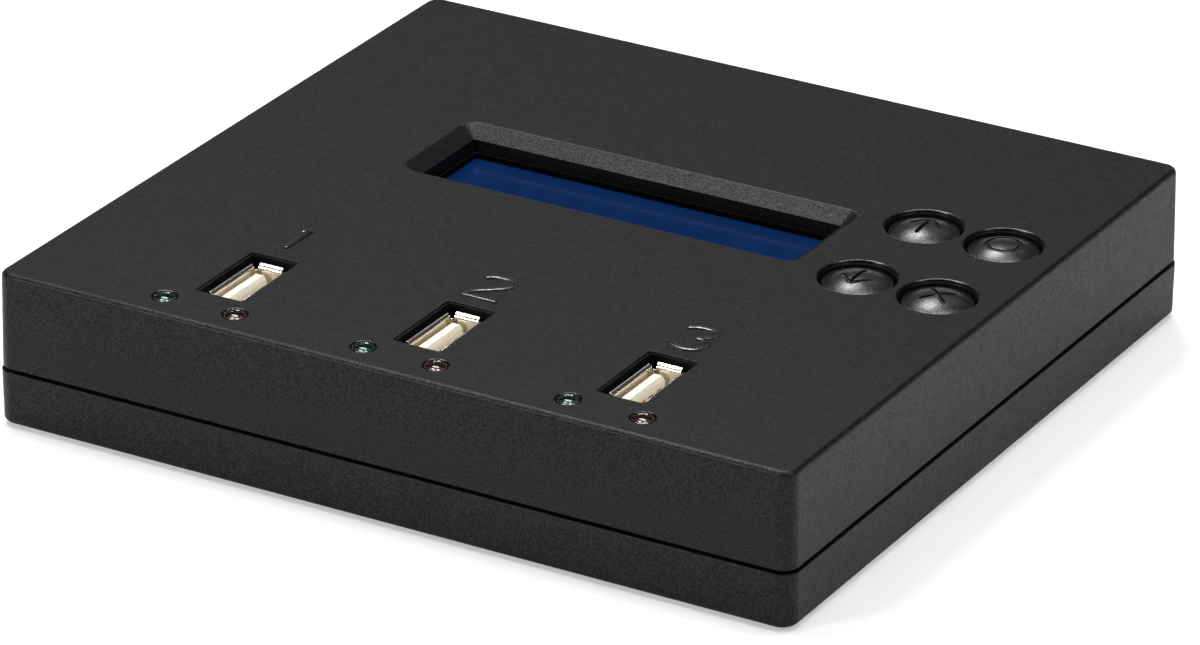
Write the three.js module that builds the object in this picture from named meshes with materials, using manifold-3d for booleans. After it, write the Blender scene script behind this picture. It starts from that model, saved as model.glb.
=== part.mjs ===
// A stand-alone USB flash drive duplicator: a flat two-shell box with three upright ports,
// six status lights, a two-line display and four push buttons.
// Millimetres, +Z up, +X to the right and +Y to the back. The origin is on the table, under
// the middle of the case.
import * as THREE from "three";
import { mergeVertices } from "three/addons/utils/BufferGeometryUtils.js";
import Module from "manifold-3d";

const wasm = await Module();
wasm.setup();

// Case
const caseWidth = 140;
const caseDepth = 130.4;
const caseHeight = 25.9;
const footProud = 0.55;
const lowerHeight = 8.9;
const seamGap = 0.8;
const shellStep = 0.19;
const draftDegrees = 0.89;
const cornerRadius = 2.85;
const topFillet = 0.92;
const bottomFillet = 0.5;
const sideWall = 2.2;
const topWall = 2.4;
const floorWall = 2.2;
const lipInset = 1.25;
const lipHeight = 1.5;
const lipClearance = 0.15;

// Corner posts and the screws that close the case
const postInset = 8;
const postRadius = 3.5;
const postRibThickness = 1.2;
const postRibDrop = 1;
const caseScrewRadius = 1.3;
const caseScrewHeadRadius = 2.6;
const caseScrewHeadHeight = 2;
const caseScrewRecess = 3;
const caseScrewBite = 8;
const screwClearance = 0.3;
const screwTipRoom = 0.6;

// Feet
const footRadius = 5;
const footInset = 16;
const footRecess = 0.9;
const footEdge = 0.35;

// Main board
const boardThickness = 1.6;
const boardClearance = 1.2;
const boardCornerRadius = 1;
const boardPostClearance = 1;
const standoffInsetX = 14;
const standoffInsetFront = 25;
const standoffInsetBack = 21;
const standoffRadius = 3;
const boardScrewRadius = 1.15;
const boardScrewHeadRadius = 2.3;
const boardScrewHeadHeight = 1.6;
const boardScrewBite = 4.5;

// Upright ports
const portPitch = 35.3;
const portInset = 18.8;
const portShift = -0.13;
const portMouthDrop = 1;
const portHeight = 14;
const portShellWidth = 5.7;
const portShellLength = 13.1;
const portSheet = 0.3;
const portSideLipLength = 12.4;
const portSideFlare = 0.5;
const portEndLipWidth = 4.2;
const portEndFlare = 0.7;
const portLipHeight = 0.9;
const portSlotSideGap = 1.15;
const portSlotEndGap = 1.45;
const portSlotEdge = 0.15;
const portSlotRadius = 0.3;
const tongueThickness = 1.85;
const tongueLength = 11.1;
const tongueWallGap = 0.65;
const tongueDrop = 1.1;
const tongueChamfer = 0.6;
const tongueChamferHeight = 0.9;
const tongueEndRounding = 0.3;
const insulatorBaseHeight = 5;
const insulatorClearance = 0.05;

// Status lights
const lightInset = 6.2;
const lightPitch = 35.6;
const lightShift = -0.4;
const lightSpread = 6.35;
const lightDrop = 0.05;
const lightRadius = 1.5;
const lightHeight = 5.2;
const lightFlangeRadius = 1.9;
const lightFlangeHeight = 1;
const lightLegSize = 0.5;
const lightLegSpread = 1.27;
const lightHoleRadius = 2.1;
const lightHoleEdge = 0.12;

// Display
const displayButtonGap = 46.55;
const displayPlaceY = 11.7;
const bezelOuterWidth = 72.4;
const bezelOuterDepth = 22;
const bezelOuterRadius = 3;
const bezelSlopeWidth = 2.7;
const bezelSlopeDrop = 1.8;
const bezelInnerRadius = 0.6;
const bezelRimDrop = 3.5;
const bezelRimWall = 1.6;
const displayFrameWidth = 71;
const displayFrameDepth = 27;
const displayFrameHeight = 7;
const displayFrameSheet = 0.6;
const displayWindowWidth = 65.2;
const displayWindowDepth = 14.2;
const displayGlassClearance = 0.3;
const displayGlassThickness = 2.2;
const displayBoardWidth = 80;
const displayBoardDepth = 36;
const displayBoardThickness = 1.6;
const displayHolePitchX = 75;
const displayHolePitchY = 31;
const displayPostRadius = 2.4;
const displayScrewRadius = 0.8;
const displayScrewHeadRadius = 1.9;
const displayScrewHeadHeight = 1.3;
const displayScrewBite = 5;
const headerPitch = 2.54;
const headerPins = 16;
const headerEndGap = 6.7;

// Push buttons
const buttonEdge = 10.8;
const buttonPitchX = 13.85;
const buttonPitchY = 22.05;
const buttonPlaceY = 11.9;
const buttonCapRadius = 5.7;
const buttonGap = 0.45;
const buttonHoleEdge = 0.4;
const buttonRimDrop = 0.85;
const buttonDomeHeight = 1.25;
const buttonFlangeRadius = 6.6;
const buttonFlangeThickness = 0.9;
const buttonFlangeGap = 0.1;
const buttonStemRadius = 2;
const switchSize = 6;
const switchBodyHeight = 3.5;
const switchHeight = 5;
const plungerRadius = 1.75;
const plungerClearance = 0.3;
const plungerSunk = 1.4;
const plungerRoom = 0.6;

// Power inlet
const jackInset = 22;
const jackWidth = 9;
const jackLength = 14.2;
const jackHeight = 11;
const jackAxisHeight = 6.5;
const jackWallGap = 0.6;
const jackNoseRadius = 3.9;
const jackNoseLength = 2;
const jackNoseClearance = 0.3;
const jackBoreRadius = 3.2;
const jackBoreDepth = 10.5;
const jackPinRadius = 1;
const jackPinRecess = 1;

// Parts soldered to the main board
const controllerSize = 14;
const controllerHeight = 1.4;
const controllerPins = 8;
const controllerPinPitch = 1.4;
const controllerPinWidth = 0.5;
const controllerPinReach = 1;
const controllerPinHeight = 0.5;
const memoryWidth = 18.4;
const memoryDepth = 9;
const memoryHeight = 1.1;
const crystalLength = 10.2;
const crystalWidth = 4.2;
const crystalHeight = 3.4;
const regulatorWidth = 6.6;
const regulatorDepth = 6.1;
const regulatorHeight = 2.3;
const regulatorTabDepth = 1.2;
const regulatorTabHeight = 0.5;
const capacitorRadius = 4;
const capacitorHeight = 10;
const capacitorGroove = 0.35;
const inductorSize = 10;
const inductorHeight = 5;
const inductorChamfer = 2;
const chipEdge = 0.3;
const controllerPlaceShares = [-0.12, -0.15];
const memoryPlaceShares = [0.14, -0.15];
const crystalPlaceShares = [-0.27, -0.13];
const regulatorPlaceShares = [-0.2, 0.4];
const capacitorPlaceShares = [-0.11, 0.41];
const inductorPlaceShares = [0, 0.41];

// How finely curves are cut, and how far a cutter runs past what it cuts
const cornerSteps = 5;
const sheetSteps = 2;
const filletSteps = 3;
const holeEdgeSteps = 2;
const domeSteps = 5;
const buttonSegments = 32;
const lightSegments = 16;
const postSegments = 14;
const screwSegments = 10;
const footSegments = 24;
const smallestRadius = 0.05;
const overrun = 0.5;

// Heights worked out from the sizes above
const halfWidth = caseWidth / 2;
const halfDepth = caseDepth / 2;
const draftSlope = Math.tan(THREE.MathUtils.degToRad(draftDegrees));
const rimZ = footProud + lowerHeight;
const upperBottomZ = rimZ + seamGap;
const lipTopZ = rimZ + lipHeight;
const floorTopZ = footProud + floorWall;
const ceilingZ = caseHeight - topWall;
const mouthZ = caseHeight - portMouthDrop;
const boardTopZ = mouthZ - portHeight;
const boardBottomZ = boardTopZ - boardThickness;
const displayTopZ = caseHeight - bezelRimDrop;
const displayBoardTopZ = displayTopZ - displayFrameHeight;
const displayBoardBottomZ = displayBoardTopZ - displayBoardThickness;
const glassTopZ = displayTopZ - displayFrameSheet - displayGlassClearance;
const glassBottomZ = glassTopZ - displayGlassThickness;
const jackAxisZ = boardTopZ + jackAxisHeight;

// Places in plan
const boardWidth = caseWidth - 2 * (sideWall + boardClearance);
const boardDepth = caseDepth - 2 * (sideWall + boardClearance);
const portY = portInset - halfDepth;
const lightY = lightInset - halfDepth;
const buttonRightX = halfWidth - buttonEdge;
const buttonLeftX = buttonRightX - buttonPitchX;
const buttonBackY = buttonPlaceY + buttonPitchY / 2;
const buttonFrontY = buttonPlaceY - buttonPitchY / 2;
const displayX = buttonLeftX - displayButtonGap;
const jackX = jackInset - halfWidth;
const jackFrontY = halfDepth - shellStep - sideWall - jackWallGap;
const headerX = displayX - displayBoardWidth / 2 + headerEndGap + (headerPins * headerPitch) / 2;
const headerY = displayPlaceY + displayHolePitchY / 2;

const portPlaces = [-1, 0, 1].map((step) => new THREE.Vector2(portShift + step * portPitch, portY));
const postPlaces = mirrored(halfWidth - postInset, halfDepth - postInset);
const footPlaces = mirrored(halfWidth - footInset, halfDepth - footInset);
const displayPostPlaces = mirrored(displayHolePitchX / 2, displayHolePitchY / 2).map((place) =>
  place.add(new THREE.Vector2(displayX, displayPlaceY)),
);
const standoffPlaces = [
  new THREE.Vector2(standoffInsetX - halfWidth, standoffInsetFront - halfDepth),
  new THREE.Vector2(halfWidth - standoffInsetX, standoffInsetFront - halfDepth),
  new THREE.Vector2(halfWidth - standoffInsetX, halfDepth - standoffInsetBack),
  new THREE.Vector2(standoffInsetX - halfWidth, halfDepth - standoffInsetBack),
];
const buttonPlaces = {
  up: new THREE.Vector2(buttonLeftX, buttonBackY),
  down: new THREE.Vector2(buttonLeftX, buttonFrontY),
  enter: new THREE.Vector2(buttonRightX, buttonBackY),
  escape: new THREE.Vector2(buttonRightX, buttonFrontY),
};

// Finishes
const finishes = {
  caseBlack: finish(0x29282a, 0.62, 0),
  buttonBlack: finish(0x1f1f20, 0.42, 0),
  footRubber: finish(0x151515, 0.9, 0),
  boardGreen: finish(0x1d5a35, 0.5, 0),
  zincSteel: finish(0xb9bcc0, 0.35, 0.9),
  nickel: finish(0xd8d6d0, 0.28, 1),
  portWhite: finish(0xf1e9d6, 0.5, 0),
  displayBlack: finish(0x0c0c0e, 0.45, 0.2),
  displayBlue: finish(0x12235c, 0.15, 0),
  diffuser: finish(0xe9e9e4, 0.6, 0),
  greenLens: finish(0x12342a, 0.15, 0),
  redLens: finish(0x401013, 0.15, 0),
  chipBlack: finish(0x1b1c1e, 0.55, 0),
  ferrite: finish(0x3b3b3d, 0.7, 0),
};

function finish(color, roughness, metalness) {
  return new THREE.MeshStandardMaterial({ color, roughness, metalness });
}

// The four places at plus and minus x and y, anticlockwise from the front left.
function mirrored(x, y) {
  return [
    new THREE.Vector2(-x, -y),
    new THREE.Vector2(x, -y),
    new THREE.Vector2(x, y),
    new THREE.Vector2(-x, y),
  ];
}

// A closed geometry as a solid that can be joined and cut.
function solid(geometry) {
  const bare = geometry.clone();
  bare.deleteAttribute("normal");
  bare.deleteAttribute("uv");
  const merged = mergeVertices(bare);
  return new wasm.Manifold(
    new wasm.Mesh({
      numProp: 3,
      vertProperties: merged.attributes.position.array,
      triVerts: new Uint32Array(merged.index.array),
    }),
  );
}

// Several solids as one, and one solid less several others.
function join(...solids) {
  return solids.reduce((sum, next) => sum.add(next));
}

function cut(base, ...tools) {
  return tools.reduce((rest, tool) => rest.subtract(tool), base);
}

// A solid as a drawable geometry.
function geometryOf(made) {
  const data = made.getMesh();
  const geometry = new THREE.BufferGeometry();
  geometry.setAttribute("position", new THREE.BufferAttribute(data.vertProperties, 3));
  geometry.setIndex(new THREE.BufferAttribute(data.triVerts, 1));
  geometry.computeVertexNormals();
  return geometry;
}

function piece(name, made, material, x = 0, y = 0, z = 0) {
  const mesh = new THREE.Mesh(geometryOf(made), material);
  mesh.name = name;
  mesh.position.set(x, y, z);
  return mesh;
}

// The outline of a rectangle with round corners, about the origin, anticlockwise.
function roundedOutline(width, depth, radius, steps = cornerSteps) {
  const points = [];
  const least = Math.max(radius, smallestRadius);
  const corners = mirrored(width / 2 - least, depth / 2 - least);
  corners.forEach((centre, corner) => {
    for (let step = 0; step <= steps; step += 1) {
      const angle = Math.PI + ((corner + step / steps) * Math.PI) / 2;
      points.push(
        new THREE.Vector2(
          centre.x + least * Math.cos(angle),
          centre.y + least * Math.sin(angle),
        ),
      );
    }
  });
  return points;
}

// A closed solid through outlines with equal numbers of points, each at its own height.
function loft(sections) {
  const count = sections[0].points.length;
  const top = (sections.length - 1) * count;
  const positions = [];
  const indices = [];
  for (const { points, z } of sections) {
    for (const point of points) {
      positions.push(point.x, point.y, z);
    }
  }
  for (let ring = 0; ring < top; ring += count) {
    for (let here = 0; here < count; here += 1) {
      const next = (here + 1) % count;
      indices.push(ring + here, ring + next, ring + next + count);
      indices.push(ring + here, ring + next + count, ring + here + count);
    }
  }
  for (const [a, b, c] of THREE.ShapeUtils.triangulateShape(sections[0].points, [])) {
    indices.push(c, b, a);
    indices.push(top + a, top + b, top + c);
  }
  const geometry = new THREE.BufferGeometry();
  geometry.setAttribute("position", new THREE.Float32BufferAttribute(positions, 3));
  geometry.setIndex(indices);
  return solid(geometry);
}

// A straight slab with round corners between two heights, about its own place in plan.
function slab(width, depth, radius, bottom, top, x = 0, y = 0) {
  const points = roundedOutline(width, depth, radius, sheetSteps);
  return loft([
    { points, z: bottom },
    { points, z: top },
  ]).translate([x, y, 0]);
}

// A plain block with square corners.
function block(width, depth, bottom, top, x = 0, y = 0) {
  const geometry = new THREE.BoxGeometry(width, depth, top - bottom);
  return solid(geometry).translate([x, y, (bottom + top) / 2]);
}

// A block whose upper edges are broken, as a moulded chip's are.
function chip(width, depth, height, edge) {
  const full = roundedOutline(width, depth, edge, 1);
  const small = roundedOutline(width - 2 * edge, depth - 2 * edge, edge, 1);
  return loft([
    { points: full, z: 0 },
    { points: full, z: height - edge },
    { points: small, z: height },
  ]);
}

// A profile of [radius, height] pairs, from the lower axis point to the upper one, turned about Z.
function revolve(profile, segments) {
  const points = profile.map(([radius, height]) => new THREE.Vector2(radius, height));
  const geometry = new THREE.LatheGeometry(points, segments);
  geometry.rotateX(Math.PI / 2);
  return solid(geometry);
}

function post(radius, bottom, top, place, segments = postSegments) {
  const profile = [
    [0, bottom],
    [radius, bottom],
    [radius, top],
    [0, top],
  ];
  return revolve(profile, segments).translate([place.x, place.y, 0]);
}

// A round rod along Y between two places.
function rodAlongY(radius, start, end, x, z, segments) {
  const geometry = new THREE.CylinderGeometry(radius, radius, end - start, segments);
  return solid(geometry).translate([x, (start + end) / 2, z]);
}

// A ring of the case's outline, drawn in by an inset, at a height.
function caseRing(inset, z) {
  const width = caseWidth - 2 * inset;
  const depth = caseDepth - 2 * inset;
  return { points: roundedOutline(width, depth, cornerRadius - inset), z };
}

// Rings of a quarter-round edge that closes in above a height, or below it where rise is -1.
function filletRings(inset, z, radius, rise) {
  const rings = [];
  for (let step = 1; step <= filletSteps; step += 1) {
    const angle = ((step / filletSteps) * Math.PI) / 2;
    const shift = radius * (1 - Math.cos(angle));
    rings.push(caseRing(inset + shift, z + rise * radius * Math.sin(angle)));
  }
  return rings;
}

// Two thin ribs that tie a corner post to the side walls.
function postRibs(place, bottom, top) {
  const sideX = Math.sign(place.x) * (halfWidth - sideWall);
  const sideY = Math.sign(place.y) * (halfDepth - sideWall);
  const alongX = Math.abs(sideX - place.x);
  const alongY = Math.abs(sideY - place.y);
  return join(
    block(alongX, postRibThickness, bottom, top, (sideX + place.x) / 2, place.y),
    block(postRibThickness, alongY, bottom, top, place.x, (sideY + place.y) / 2),
  );
}

// The round hole in the back wall that the power plug goes through.
function jackHole() {
  const radius = jackNoseRadius + jackNoseClearance;
  return rodAlongY(radius, jackFrontY, halfDepth + overrun, jackX, jackAxisZ, lightSegments);
}

// Upper shell: drafted walls with a round top edge, hollowed to a constant wall.
function upperShellBody() {
  const straight = caseHeight - topFillet - upperBottomZ;
  const filletInset = shellStep + draftSlope * straight;
  const ceilingInset = shellStep + sideWall + draftSlope * (ceilingZ - upperBottomZ);
  const outer = loft([
    caseRing(shellStep, upperBottomZ),
    caseRing(filletInset, caseHeight - topFillet),
    ...filletRings(filletInset, caseHeight - topFillet, topFillet, 1),
  ]);
  const cavity = loft([
    caseRing(shellStep + sideWall, upperBottomZ - overrun),
    caseRing(shellStep + sideWall, upperBottomZ),
    caseRing(ceilingInset, ceilingZ),
  ]);
  const rebate = loft([
    caseRing(lipInset - lipClearance, upperBottomZ - overrun),
    caseRing(lipInset - lipClearance, lipTopZ),
  ]);
  return cut(outer, cavity, rebate);
}

// The sloped well over the display, as a cutter.
function bezelCutter() {
  const innerWidth = bezelOuterWidth - 2 * bezelSlopeWidth;
  const innerDepth = bezelOuterDepth - 2 * bezelSlopeWidth;
  const inner = roundedOutline(innerWidth, innerDepth, bezelInnerRadius);
  const outer = roundedOutline(bezelOuterWidth, bezelOuterDepth, bezelOuterRadius);
  return loft([
    { points: inner, z: displayTopZ - overrun },
    { points: inner, z: caseHeight - bezelSlopeDrop },
    { points: outer, z: caseHeight },
    { points: outer, z: caseHeight + overrun },
  ]).translate([displayX, displayPlaceY, 0]);
}

function bezelRim() {
  const width = bezelOuterWidth - 2 * bezelSlopeWidth + 2 * bezelRimWall;
  const depth = bezelOuterDepth - 2 * bezelSlopeWidth + 2 * bezelRimWall;
  const top = ceilingZ + topWall / 2;
  return slab(width, depth, bezelRimWall, displayTopZ, top, displayX, displayPlaceY);
}

function portSlotCutter(place) {
  const width = portShellWidth + 2 * portSlotSideGap;
  const length = portShellLength + 2 * portSlotEndGap;
  const inner = roundedOutline(width, length, portSlotRadius, sheetSteps);
  const outer = roundedOutline(
    width + 2 * portSlotEdge,
    length + 2 * portSlotEdge,
    portSlotRadius + portSlotEdge,
    sheetSteps,
  );
  return loft([
    { points: inner, z: ceilingZ - overrun },
    { points: inner, z: caseHeight - portSlotEdge },
    { points: outer, z: caseHeight },
    { points: outer, z: caseHeight + overrun },
  ]).translate([place.x, place.y, 0]);
}

// A round hole through the top wall with a rounded upper edge.
function topHoleCutter(radius, edge, place, segments, steps) {
  const profile = [
    [0, ceilingZ - overrun],
    [radius, ceilingZ - overrun],
  ];
  for (let step = 0; step <= steps; step += 1) {
    const angle = ((step / steps) * Math.PI) / 2;
    profile.push([
      radius + edge * (1 - Math.cos(angle)),
      caseHeight - edge + edge * Math.sin(angle),
    ]);
  }
  profile.push([radius + edge, caseHeight + overrun]);
  profile.push([0, caseHeight + overrun]);
  return revolve(profile, segments).translate([place.x, place.y, 0]);
}

function upperShell() {
  const top = ceilingZ + topWall / 2;
  const posts = postPlaces.map((place) => post(postRadius, rimZ, top, place));
  const ribs = postPlaces.map((place) => postRibs(place, lipTopZ + postRibDrop, top));
  const displayPosts = displayPostPlaces.map((place) =>
    post(displayPostRadius, displayBoardTopZ, top, place),
  );
  const pilots = postPlaces.map((place) =>
    post(
      caseScrewRadius + screwClearance,
      rimZ - overrun,
      rimZ + caseScrewBite + screwTipRoom,
      place,
      screwSegments,
    ),
  );
  const displayPilots = displayPostPlaces.map((place) =>
    post(
      displayScrewRadius + screwClearance,
      displayBoardTopZ - overrun,
      displayBoardTopZ + displayScrewBite + screwTipRoom,
      place,
      screwSegments,
    ),
  );
  const filled = join(upperShellBody(), ...posts, ...ribs, ...displayPosts, bezelRim());
  const slots = portPlaces.map(portSlotCutter);
  const lightHoles = lightPlaces().map((place) =>
    topHoleCutter(lightHoleRadius, lightHoleEdge, place, lightSegments, 1),
  );
  const buttonHoles = Object.values(buttonPlaces).map((place) =>
    topHoleCutter(
      buttonCapRadius + buttonGap,
      buttonHoleEdge,
      place,
      buttonSegments,
      holeEdgeSteps,
    ),
  );
  return cut(
    filled,
    ...pilots,
    ...displayPilots,
    bezelCutter(),
    ...slots,
    ...lightHoles,
    ...buttonHoles,
    jackHole(),
  );
}

// Lower shell: a drafted tray with a raised lip that keys into the upper shell.
function lowerShellBody() {
  const bottomInset = draftSlope * (lowerHeight - bottomFillet);
  const bottomZ = footProud + bottomFillet;
  const outer = loft([
    ...filletRings(bottomInset, bottomZ, bottomFillet, -1).reverse(),
    caseRing(bottomInset, bottomZ),
    caseRing(0, rimZ),
  ]);
  const lip = loft([caseRing(lipInset, bottomZ), caseRing(lipInset, lipTopZ)]);
  const cavity = loft([caseRing(sideWall, floorTopZ), caseRing(sideWall, lipTopZ + overrun)]);
  return cut(join(outer, lip), cavity);
}

function lowerShell() {
  const base = floorTopZ - floorWall / 2;
  const posts = postPlaces.map((place) => post(postRadius, base, rimZ, place));
  const ribs = postPlaces.map((place) => postRibs(place, base, rimZ - postRibDrop));
  const standoffs = standoffPlaces.map((place) => post(standoffRadius, base, boardBottomZ, place));
  const headHoles = postPlaces.map((place) =>
    post(
      caseScrewHeadRadius + screwClearance,
      footProud - overrun,
      footProud + caseScrewRecess,
      place,
    ),
  );
  const screwHoles = postPlaces.map((place) =>
    post(caseScrewRadius + screwClearance, footProud, rimZ + overrun, place, screwSegments),
  );
  const boardPilots = standoffPlaces.map((place) =>
    post(
      boardScrewRadius + screwClearance,
      boardBottomZ - boardScrewBite - screwTipRoom,
      boardBottomZ + overrun,
      place,
      screwSegments,
    ),
  );
  const footSeats = footPlaces.map((place) =>
    post(
      footRadius + screwClearance,
      footProud - overrun,
      footProud + footRecess,
      place,
      footSegments,
    ),
  );
  return cut(
    join(lowerShellBody(), ...posts, ...ribs, ...standoffs),
    ...headHoles,
    ...screwHoles,
    ...boardPilots,
    ...footSeats,
    jackHole(),
  );
}

// A rubber foot that stands on its lower face, with a rounded lower edge.
function foot() {
  return revolve(
    [
      [0, 0],
      [footRadius - footEdge, 0],
      [footRadius, footEdge],
      [footRadius, footProud + footRecess],
      [0, footProud + footRecess],
    ],
    footSegments,
  );
}

// A pan-head screw that points up, with its head's seat at height zero.
function screw(radius, headRadius, headHeight, length) {
  const shoulder = headHeight / 2;
  return revolve(
    [
      [0, -headHeight],
      [headRadius - shoulder / 2, -headHeight],
      [headRadius, -shoulder],
      [headRadius, 0],
      [radius, 0],
      [radius, length - radius],
      [radius / 2, length],
      [0, length],
    ],
    screwSegments,
  );
}

// The main board, with round bites for the corner posts and holes for its screws.
function mainBoard() {
  const blank = slab(boardWidth, boardDepth, boardCornerRadius, boardBottomZ, boardTopZ);
  const low = boardBottomZ - overrun;
  const high = boardTopZ + overrun;
  const bites = postPlaces.map((place) => post(postRadius + boardPostClearance, low, high, place));
  const corners = postPlaces.map((place) => {
    const reach = postInset;
    const x = place.x + (Math.sign(place.x) * reach) / 2;
    const y = place.y + (Math.sign(place.y) * reach) / 2;
    const side = reach + 2 * (postRadius + boardPostClearance);
    return block(reach, side, low, high, x, place.y).add(block(side, reach, low, high, place.x, y));
  });
  const holes = standoffPlaces.map((place) =>
    post(boardScrewRadius + screwClearance, low, high, place, screwSegments),
  );
  return cut(blank, ...bites, ...corners, ...holes);
}

// A sheet lip at the mouth of a port, flared outward as it rises. Its inner face starts on the
// wall's inner face at x = 0, and it runs along Y.
function portLip(length, flare) {
  const shape = new THREE.Shape([
    new THREE.Vector2(0, -portSheet),
    new THREE.Vector2(portSheet, -portSheet),
    new THREE.Vector2(portSheet, 0),
    new THREE.Vector2(portSheet + flare, portLipHeight),
    new THREE.Vector2(flare, portLipHeight),
    new THREE.Vector2(0, 0),
  ]);
  const geometry = new THREE.ExtrudeGeometry(shape, { depth: length, bevelEnabled: false });
  geometry.rotateX(Math.PI / 2);
  geometry.translate(0, length / 2, 0);
  return solid(geometry);
}

// The metal shell of a port, standing on the board: a folded sheet tube with four flared lips.
function portShell() {
  const tubeTop = portHeight - portLipHeight;
  const innerWidth = portShellWidth - 2 * portSheet;
  const innerLength = portShellLength - 2 * portSheet;
  const outer = slab(portShellWidth, portShellLength, 2 * portSheet, 0, tubeTop);
  const bore = slab(innerWidth, innerLength, portSheet, -overrun, tubeTop + overrun);
  const side = portLip(portSideLipLength, portSideFlare);
  const end = portLip(portEndLipWidth, portEndFlare).rotate([0, 0, 90]);
  return join(
    cut(outer, bore),
    side.translate([innerWidth / 2, 0, tubeTop]),
    side.rotate([0, 0, 180]).translate([-innerWidth / 2, 0, tubeTop]),
    end.translate([0, innerLength / 2, tubeTop]),
    end.rotate([0, 0, 180]).translate([0, -innerLength / 2, tubeTop]),
  );
}

// The plastic core of a port: a base block, and the tongue that carries the contacts on its
// right-hand side.
function portInsulator() {
  const innerWidth = portShellWidth - 2 * portSheet;
  const innerLength = portShellLength - 2 * portSheet;
  const baseWidth = innerWidth - 2 * insulatorClearance;
  const baseLength = innerLength - 2 * insulatorClearance;
  const left = tongueWallGap - innerWidth / 2;
  const right = left + tongueThickness;
  const top = portHeight - tongueDrop;
  const profile = new THREE.Shape([
    new THREE.Vector2(left, insulatorBaseHeight - overrun),
    new THREE.Vector2(right, insulatorBaseHeight - overrun),
    new THREE.Vector2(right, top - tongueChamferHeight),
    new THREE.Vector2(right - tongueChamfer, top),
    new THREE.Vector2(left, top),
  ]);
  const geometry = new THREE.ExtrudeGeometry(profile, { depth: tongueLength, bevelEnabled: false });
  geometry.rotateX(Math.PI / 2);
  geometry.translate(0, tongueLength / 2, 0);
  const face = roundedOutline(tongueLength, 2 * top, tongueEndRounding, filletSteps);
  const ends = loft([
    { points: face, z: left - overrun },
    { points: face, z: right + overrun },
  ]);
  const rounding = ends.rotate([90, 0, 0]).rotate([0, 0, 90]);
  return join(
    slab(baseWidth, baseLength, portSheet, 0, insulatorBaseHeight),
    solid(geometry).intersect(rounding),
  );
}

// The lights stand in pairs, on a pitch a hair wider than the ports'.
function lightPlaces() {
  return [-1, 0, 1].flatMap((step) => {
    const middle = lightShift + step * lightPitch;
    return [
      new THREE.Vector2(middle - lightSpread, lightY),
      new THREE.Vector2(middle + lightSpread, lightY),
    ];
  });
}

// A domed light on its two legs, standing on the board.
function light() {
  const top = caseHeight - lightDrop - boardTopZ;
  const base = top - lightHeight;
  const shoulder = top - lightRadius;
  const profile = [
    [0, base],
    [lightFlangeRadius, base],
    [lightFlangeRadius, base + lightFlangeHeight],
    [lightRadius, base + lightFlangeHeight],
  ];
  for (let step = 0; step <= filletSteps; step += 1) {
    const angle = ((step / filletSteps) * Math.PI) / 2;
    profile.push([lightRadius * Math.cos(angle), shoulder + lightRadius * Math.sin(angle)]);
  }
  profile[profile.length - 1][0] = 0;
  const leg = block(lightLegSize, lightLegSize, 0, base + lightLegSize);
  return join(
    revolve(profile, lightSegments),
    leg.translate([-lightLegSpread, 0, 0]),
    leg.translate([lightLegSpread, 0, 0]),
  );
}

// The display's folded metal frame, open below, with a window above the glass.
function displayFrame() {
  const bottom = displayTopZ - displayFrameHeight;
  const outer = slab(displayFrameWidth, displayFrameDepth, displayFrameSheet, bottom, displayTopZ);
  const inside = block(
    displayFrameWidth - 2 * displayFrameSheet,
    displayFrameDepth - 2 * displayFrameSheet,
    bottom - overrun,
    displayTopZ - displayFrameSheet,
  );
  const window = block(displayWindowWidth, displayWindowDepth, bottom, displayTopZ + overrun);
  return cut(outer, inside, window);
}

function displayLayer(bottom, top) {
  const inset = 2 * (displayFrameSheet + displayGlassClearance);
  return block(displayFrameWidth - inset, displayFrameDepth - inset, bottom, top);
}

function displayBoard() {
  const low = displayBoardBottomZ - overrun;
  const high = displayBoardTopZ + overrun;
  const holes = displayPostPlaces.map((place) => {
    const local = place.clone().sub(new THREE.Vector2(displayX, displayPlaceY));
    return post(displayScrewRadius + screwClearance, low, high, local, screwSegments);
  });
  const blank = block(
    displayBoardWidth,
    displayBoardDepth,
    displayBoardBottomZ,
    displayBoardTopZ,
  );
  return cut(blank, ...holes);
}

// The pin header between the two boards, with a notch between each pair of pins.
function displayHeader() {
  const length = headerPins * headerPitch;
  const height = displayBoardBottomZ - boardTopZ;
  const notch = headerPitch / 4;
  const notches = [];
  for (let pin = 1; pin < headerPins; pin += 1) {
    for (const side of [-1, 1]) {
      const cutter = block(notch, notch, -overrun, height + overrun).rotate([0, 0, 45]);
      notches.push(
        cutter.translate([pin * headerPitch - length / 2, (side * headerPitch) / 2, 0]),
      );
    }
  }
  return cut(block(length, headerPitch, 0, height), ...notches);
}

// A button cap: a shallow dome, a flange that keeps it under the top wall and a stem.
function buttonCap() {
  const rimZ = caseHeight - buttonRimDrop;
  const flangeTop = ceilingZ - buttonFlangeGap;
  const stemBottom = boardTopZ + switchHeight;
  const sphereRadius =
    (buttonCapRadius ** 2 + buttonDomeHeight ** 2) / (2 * buttonDomeHeight);
  const profile = [
    [0, stemBottom],
    [buttonStemRadius, stemBottom],
    [buttonStemRadius, flangeTop - buttonFlangeThickness],
    [buttonFlangeRadius, flangeTop - buttonFlangeThickness],
    [buttonFlangeRadius, flangeTop],
    [buttonCapRadius, flangeTop],
  ];
  for (let step = 0; step < domeSteps; step += 1) {
    const radius = buttonCapRadius * (1 - step / domeSteps);
    const rise = Math.sqrt(sphereRadius ** 2 - radius ** 2) - sphereRadius + buttonDomeHeight;
    profile.push([radius, rimZ + rise]);
  }
  profile.push([0, rimZ + buttonDomeHeight]);
  return revolve(profile, buttonSegments);
}

// A board switch: its body with a well, and the plunger that the cap's stem rests on.
function switchBody() {
  const well = post(
    plungerRadius + plungerClearance,
    switchBodyHeight - plungerSunk - plungerRoom,
    switchBodyHeight + overrun,
    new THREE.Vector2(0, 0),
  );
  return cut(chip(switchSize, switchSize, switchBodyHeight, chipEdge), well);
}

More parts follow.
